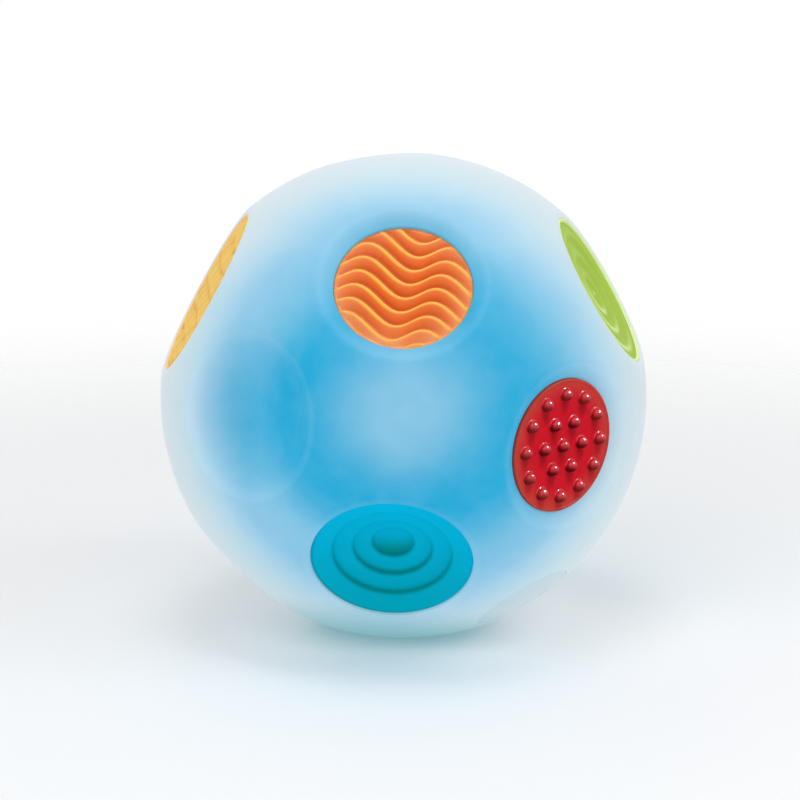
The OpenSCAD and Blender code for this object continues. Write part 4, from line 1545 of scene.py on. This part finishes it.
def stand_for(piece: bpy.types.Object, node: str, finish: bpy.types.Material) -> None:
    """Dresses a new piece and lets it stand for its node on the ball.

    Args:
        piece: The piece, at its place.
        node: The node that it replaces.
        finish: Its material.
    """
    piece.data.materials.append(finish)
    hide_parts(node)
    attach(piece, "ball")
    LOG.info("%s: %d faces", node, len(piece.data.polygons))


@dataclass(frozen=True)
class TouchDiscs:
    """All the rubber discs, each set in its seat."""

    ball: BallForm

    def build(self) -> None:
        """Makes each disc in place, dresses it and lets it stand for its node."""
        finishes = {touch: rubber.made() for touch, rubber in RUBBERS.items()}
        for node, (touch, facing) in DISCS.items():
            disc = MAKERS[touch](touch.value)
            axes = facing.axes()
            origin = self.ball.centre + axes[2] * self.ball.disc_plane(disc.seat)
            piece = disc.shell().placed(axes, origin).made(node + "_skin", disc.crease)
            disc.refine(piece, axes[1])
            stand_for(piece, node, finishes[touch])


# Skin


@dataclass(frozen=True)
class BallSkin:
    """The skin: a round shell with dished seats, cut with the pockets, the port and the flat ring below."""

    ball: BallForm
    outer_steps: int = 116
    inner_steps: int = 40
    turns: int = 160
    crease: float = 25.0
    shown_gap: float = 0.05 * MM
    flare: float = 0.24 * MM
    flare_sink: float = 0.048 * MM
    overrun: float = 2.0 * MM
    widest_mouth: float = 0.5
    mouth_steps: int = 4000
    port_r: float = 17.6 * MM
    port_top: float = 8.0 * MM
    flange_r: float = 19.7 * MM
    flange_top: float = 2.3 * MM

    def seats(self) -> list[tuple[Facing, Seat]]:
        """Every seat with the way it faces.

        Returns:
            Pairs of the way and the seat.
        """
        bare = [(facing, BARE_SEAT) for facing in BARE_BOWLS]
        filled = [(facing, touch.value) for touch, facing in DISCS.values()]
        return [*bare, *filled, (CAP_FACING, CAP_SEAT)]

    def round_shell(
        self, steps: int, distance: Callable[[np.ndarray, Seat], np.ndarray], most: float
    ) -> Shell:
        """A sphere pulled in to the least distance that any seat gives along each ray.

        Args:
            steps: Steps along each edge of the six squares.
            distance: Distance from the centre at an angle from a seat's axis.
            most: The distance where no seat reaches.

        Returns:
            The closed shell.
        """
        unit = round_grid(steps)
        reach = np.full(len(unit.points), most)
        for facing, seat in self.seats():
            angle = np.arccos(np.clip(unit.points @ facing.axes()[2], -1, 1))
            reach = np.minimum(reach, distance(angle, seat))
        return Shell(unit.points * reach[:, None] + self.ball.centre, unit.quads, unit.triangles)

    def pocket(self, facing: Facing, seat: Seat) -> Shell:
        """Cutter for a pocket: a cylinder that flares by a small chamfer where it meets the surface.

        The chamfer's height is read off the surface's section, at angles up to widest_mouth, in radians.

        Args:
            facing: Which way the seat faces.
            seat: The seat.

        Returns:
            The closed cutter, in its place.
        """
        r = seat.disc_r + self.shown_gap
        angles = np.linspace(0, self.widest_mouth, self.mouth_steps + 1)
        reach = self.ball.surface(angles, seat)
        level = float(np.interp(r, reach * np.sin(angles), reach * np.cos(angles)))
        start = level - self.flare_sink
        bottom = self.ball.disc_plane(seat) - seat.thick
        top = self.ball.radius + self.overrun
        wide = r + self.flare
        pocket = [[0.0, bottom], [r, bottom], [r, start]]
        mouth = [[wide, start + self.flare], [wide, top], [0.0, top]]
        return lathe(np.array(pocket + mouth), self.turns).placed(facing.axes(), self.ball.centre)

    def port(self) -> Shell:
        """Cutter for what lies below the ball, the flange's recess and the round port.

        Returns:
            The closed cutter, in its place.
        """
        wide = self.ball.radius
        corners = [
            [0.0, -wide],
            [wide, -wide],
            [wide, 0.0],
            [self.flange_r, 0.0],
            [self.flange_r, self.flange_top],
            [self.port_r, self.flange_top],
            [self.port_r, self.port_top],
            [0.0, self.port_top],
        ]
        return lathe(np.array(corners), self.turns)

    def build(self) -> None:
        """Makes the skin, cuts it, dresses it and lets it stand for its node."""
        outer = self.round_shell(self.outer_steps, self.ball.surface, self.ball.radius)
        inner = self.round_shell(self.inner_steps, self.ball.back, self.ball.radius - self.ball.wall)
        skin = Shell.joined([outer, inner.turned_inside_out()]).made("ball_skin_shell")
        pockets = [self.pocket(facing, seat) for facing, seat in self.seats() if seat.disc_r > 0]
        tool = Shell.joined([*pockets, self.port()]).made("skin_cutter")
        cut = skin.modifiers.new("pockets", "BOOLEAN")
        cut.operation = "DIFFERENCE"
        cut.object = tool
        cut.solver = "MANIFOLD"
        whole = bpy.data.meshes.new_from_object(skin.evaluated_get(bpy.context.evaluated_depsgraph_get()))
        skin.modifiers.clear()
        skin.data = whole
        bpy.data.objects.remove(tool)
        whole.polygons.foreach_set("use_smooth", np.ones(len(whole.polygons), dtype=bool))
        whole.set_sharp_from_angle(angle=math.radians(self.crease))
        whole.materials.clear()
        stand_for(skin, "ball_skin", GlowingSkin("milky_skin", self.ball).made())


@dataclass(frozen=True)
class RoundCap:
    """Flush cap in the skin, low on the right, whose face follows the round of the ball."""

    ball: BallForm
    edge: float = 0.5 * MM
    edge_sweep: float = 60.0
    edge_steps: int = 8
    face_steps: int = 40
    turns: int = 160
    crease: float = 40.0

    def build(self) -> None:
        """Makes the cap in its pocket, dresses it and lets it stand for its node."""
        seat = CAP_SEAT
        face_r = self.ball.radius - seat.sink
        plane = self.ball.disc_plane(seat)
        start = math.degrees(math.acos((seat.disc_r - self.edge) / face_r))
        r, e = seat.disc_r, self.edge
        back = [[0.0, plane - seat.thick], [r, plane - seat.thick]]
        side = arc(r - e, plane - e, e, 0, self.edge_sweep, self.edge_steps)
        outline = np.concatenate([back, side, arc(0.0, 0.0, face_r, start, 90, self.face_steps)])
        outline[-1, 0] = 0.0
        shell = lathe(outline, self.turns).placed(CAP_FACING.axes(), self.ball.centre)
        finish = GlowingSkin("milky_cap", self.ball, shade=0.92, roughness=0.64)
        stand_for(shell.made("round_cap_shell", self.crease), "round_cap", finish.made())


# Lamp module


@dataclass(frozen=True)
class LampModule:
    """The rigid pieces, which keep the shape that they have in the frame and get their finish here."""

    finishes: tuple[tuple[Finish, tuple[str, ...]], ...] = (
        (Moulding("white_housing", tint(226, 232, 236)), ("base_cup",)),
        (Moulding("door_plastic", tint(214, 221, 227)), ("battery_door",)),
        (Moulding("blue_knob", tint(64, 132, 198), 0.38), ("switch_slider",)),
        (Moulding("board_green", tint(40, 112, 74), 0.35), ("circuit_board",)),
        (Moulding("chip_black", tint(38, 38, 41), 0.5), ("control_chip",)),
        (Moulding("wire_red", tint(180, 44, 40), 0.4), ("switch_leads",)),
        (
            Moulding("cell_jacket", tint(64, 104, 82), 0.32),
            ("battery_cell_1", "battery_cell_2", "battery_cell_3"),
        ),
        (
            Metal("bright_screw", (0.68, 0.69, 0.71), 0.28),
            ("door_screw_front", "door_screw_back", "board_screws"),
        ),
        (Metal("contact_brass", (0.72, 0.60, 0.36), 0.32), ("door_contact", "top_contact")),
        (Metal("switch_can", (0.66, 0.67, 0.68), 0.36), ("switch_body",)),
        (Metal("motion_can", (0.70, 0.62, 0.38), 0.3), ("motion_switch",)),
        (ClearLens("lamp_lens", tint(206, 232, 248), (0.35, 0.75, 1.0), 1.5), ("led_front", "led_back")),
        (ClearLens("milky_dome", tint(226, 238, 246), (0.40, 0.72, 0.95), 0.5, 0.4), ("light_dome",)),
    )

    def dress(self) -> None:
        """Gives every rigid node its finish."""
        for finish, nodes in self.finishes:
            material = finish.made()
            for node in nodes:
                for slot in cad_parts[node].material_slots:
                    slot.material = material
                LOG.info("finish %s on %s", finish.name, node)


# Stage


@dataclass(frozen=True)
class Lamp:
    """A soft square lamp that faces the ball's middle, with its side and distance in metres, and its watts.

    A lamp that doesn't light matt surfaces shows in glossy ones alone.
    """

    name: str
    facing: Facing
    side: float
    power: float
    lights_matt: bool = True
    distance: float = 0.9

    def build(self, middle: np.ndarray) -> None:
        """Adds the lamp to the scene.

        Args:
            middle: The ball's middle.
        """
        data = bpy.data.lights.new(self.name, "AREA")
        data.shape = "SQUARE"
        data.size = self.side
        data.energy = self.power
        lamp = bpy.data.objects.new(self.name, data)
        bpy.context.scene.collection.objects.link(lamp)
        lamp.location = tuple(middle + self.facing.axes()[2] * self.distance)
        turn_down, turn_round = math.radians(90 - self.facing.elevation), math.radians(self.facing.azimuth)
        lamp.rotation_euler = (turn_down, 0.0, turn_round)
        lamp.visible_diffuse = self.lights_matt


@dataclass(frozen=True)
class Studio:
    """Pale floor, soft lamps and the camera, which looks at the ball as in the photograph.

    The floor thins out between the distances thin, and is open under the ball's flat base, inside opening.
    """

    ball: BallForm
    view_elevation: float = 11.5
    view_distance: float = 0.78
    lens: float = 130.8
    sensor: float = 36.0
    shift_x: float = -3.5 / 800
    shift_y: float = -4.5 / 800
    world_light: float = 0.65
    floor_colour: Colour = (0.93, 0.94, 0.95)
    floor_first: float = 0.01
    floor_r: float = 1.5
    floor_rows: int = 40
    floor_turns: int = 96
    thin: Span = (0.16, 0.5)
    opening: Span = (BallSkin.flange_r - 0.8 * MM, BallSkin.flange_r - 0.2 * MM)
    lamps: tuple[Lamp, ...] = (
        Lamp("key", Facing(-28.0, 38.0), 0.7, 1.7),
        Lamp("high", Facing(-12.0, 86.0), 0.4, 1.05),
        Lamp("right", Facing(70.0, 42.0), 0.5, 1.0),
        Lamp("high_glint", Facing(-30.0, 84.0), 0.2, 30.0, lights_matt=False),
        Lamp("right_glint", Facing(78.0, 40.0), 0.2, 28.0, lights_matt=False),
    )

    def camera(self) -> None:
        """Places the camera straight in front, a little above the ball's middle."""
        e = math.radians(self.view_elevation)
        data = bpy.data.cameras.new("camera")
        data.lens = self.lens
        data.sensor_width = self.sensor
        data.shift_x = self.shift_x
        data.shift_y = self.shift_y
        data.clip_start = 0.01
        eye = bpy.data.objects.new("camera", data)
        bpy.context.scene.collection.objects.link(eye)
        back = self.view_distance * math.cos(e)
        eye.location = (0.0, -back, self.ball.centre[2] + self.view_distance * math.sin(e))
        eye.rotation_euler = (math.pi / 2 - e, 0.0, 0.0)
        bpy.context.scene.camera = eye

    def floor_shell(self) -> Shell:
        """Flat disc of rings, (r cos a, r sin a, 0), whose radii grow by one ratio from the middle out.

        Returns:
            The open surface, facing up.
        """
        rows, turns = self.floor_rows, self.floor_turns
        radii = np.geomspace(self.floor_first, self.floor_r, rows)[:, None]
        around = once_round(turns)
        grid = np.stack([radii * np.cos(around), radii * np.sin(around), np.zeros((rows, turns))], axis=-1)
        ring, after, quads = bands(rows, turns)
        fan = np.stack([np.zeros(turns, int), after[0], ring[0]], axis=-1)
        points = np.concatenate([np.zeros((1, 3)), grid.reshape(-1, 3)])
        return Shell(points, quads, fan).turned_inside_out()

    def floor(self) -> None:
        """Round pale floor that thins out with distance, so that it runs into the white behind.

        It is clear from below, and it is open under the ball's flat base, so that the base is lit as well.
        """
        ground = self.floor_shell().made("floor")
        shader = Shader.of_material("pale_floor")
        reach = shader.length(shader.place())
        thin = shader.span(reach, *self.thin)
        below = shader.wire("ShaderNodeNewGeometry", {}, {}, "Backfacing")
        under_base = shader.span(reach, *self.opening, 1.0, 0.0)
        open_share = 1 - (1 - thin) * (1 - below) * (1 - under_base)
        look = {"Base Color": self.floor_colour, "Roughness": 0.7, "Specular IOR Level": 0.2}
        matt = shader.wire("ShaderNodeBsdfPrincipled", {}, look)
        clear = shader.wire("ShaderNodeBsdfTransparent", {}, {})
        ground.data.materials.append(
            shader.end(shader.wire("ShaderNodeMixShader", {}, {0: open_share, 1: matt, 2: clear}))
        )

    def world(self) -> None:
        """Even light all round. What the camera sees behind the ball, straight or mirrored, is white."""
        world = bpy.data.worlds.new("studio")
        bpy.context.scene.world = world
        shader = Shader(world)
        path = shader.node("ShaderNodeLightPath", {}, {})
        rays = ("Is Camera Ray", "Is Transmission Ray", "Is Glossy Ray")
        straight, through, mirrored = (Wire(shader, path.outputs[name]) for name in rays)
        seen = straight.larger(through).larger(mirrored)
        inputs = {"Value": seen, "To Min": self.world_light, "To Max": 1.0}
        strength = shader.wire("ShaderNodeMapRange", {}, inputs)
        light = shader.wire("ShaderNodeBackground", {}, {"Color": WHITE, "Strength": strength})
        shader.end(light, "ShaderNodeOutputWorld")

    def build(self) -> None:
        """Sets up the camera, the world, the floor and the lamps."""
        self.camera()
        self.world()
        self.floor()
        for lamp in self.lamps:
            lamp.build(self.ball.centre)
            LOG.info("lamp %s: %.2f W", lamp.name, lamp.power)
        bpy.context.scene.view_settings.view_transform = "Standard"


def main() -> None:
    """Logs the ball's radius and centre, then builds the ball's parts in order and then the stage."""
    logging.basicConfig(level=logging.INFO, format="%(name)s: %(message)s")
    form = BallForm.from_frame()
    LOG.info("ball radius %.2f mm, centre %.2f mm up", form.radius / MM, form.centre[2] / MM)
    BallSkin(form).build()
    TouchDiscs(form).build()
    RoundCap(form).build()
    LampModule().dress()
    Studio(form).build()


if __name__ == "__main__":
    main()
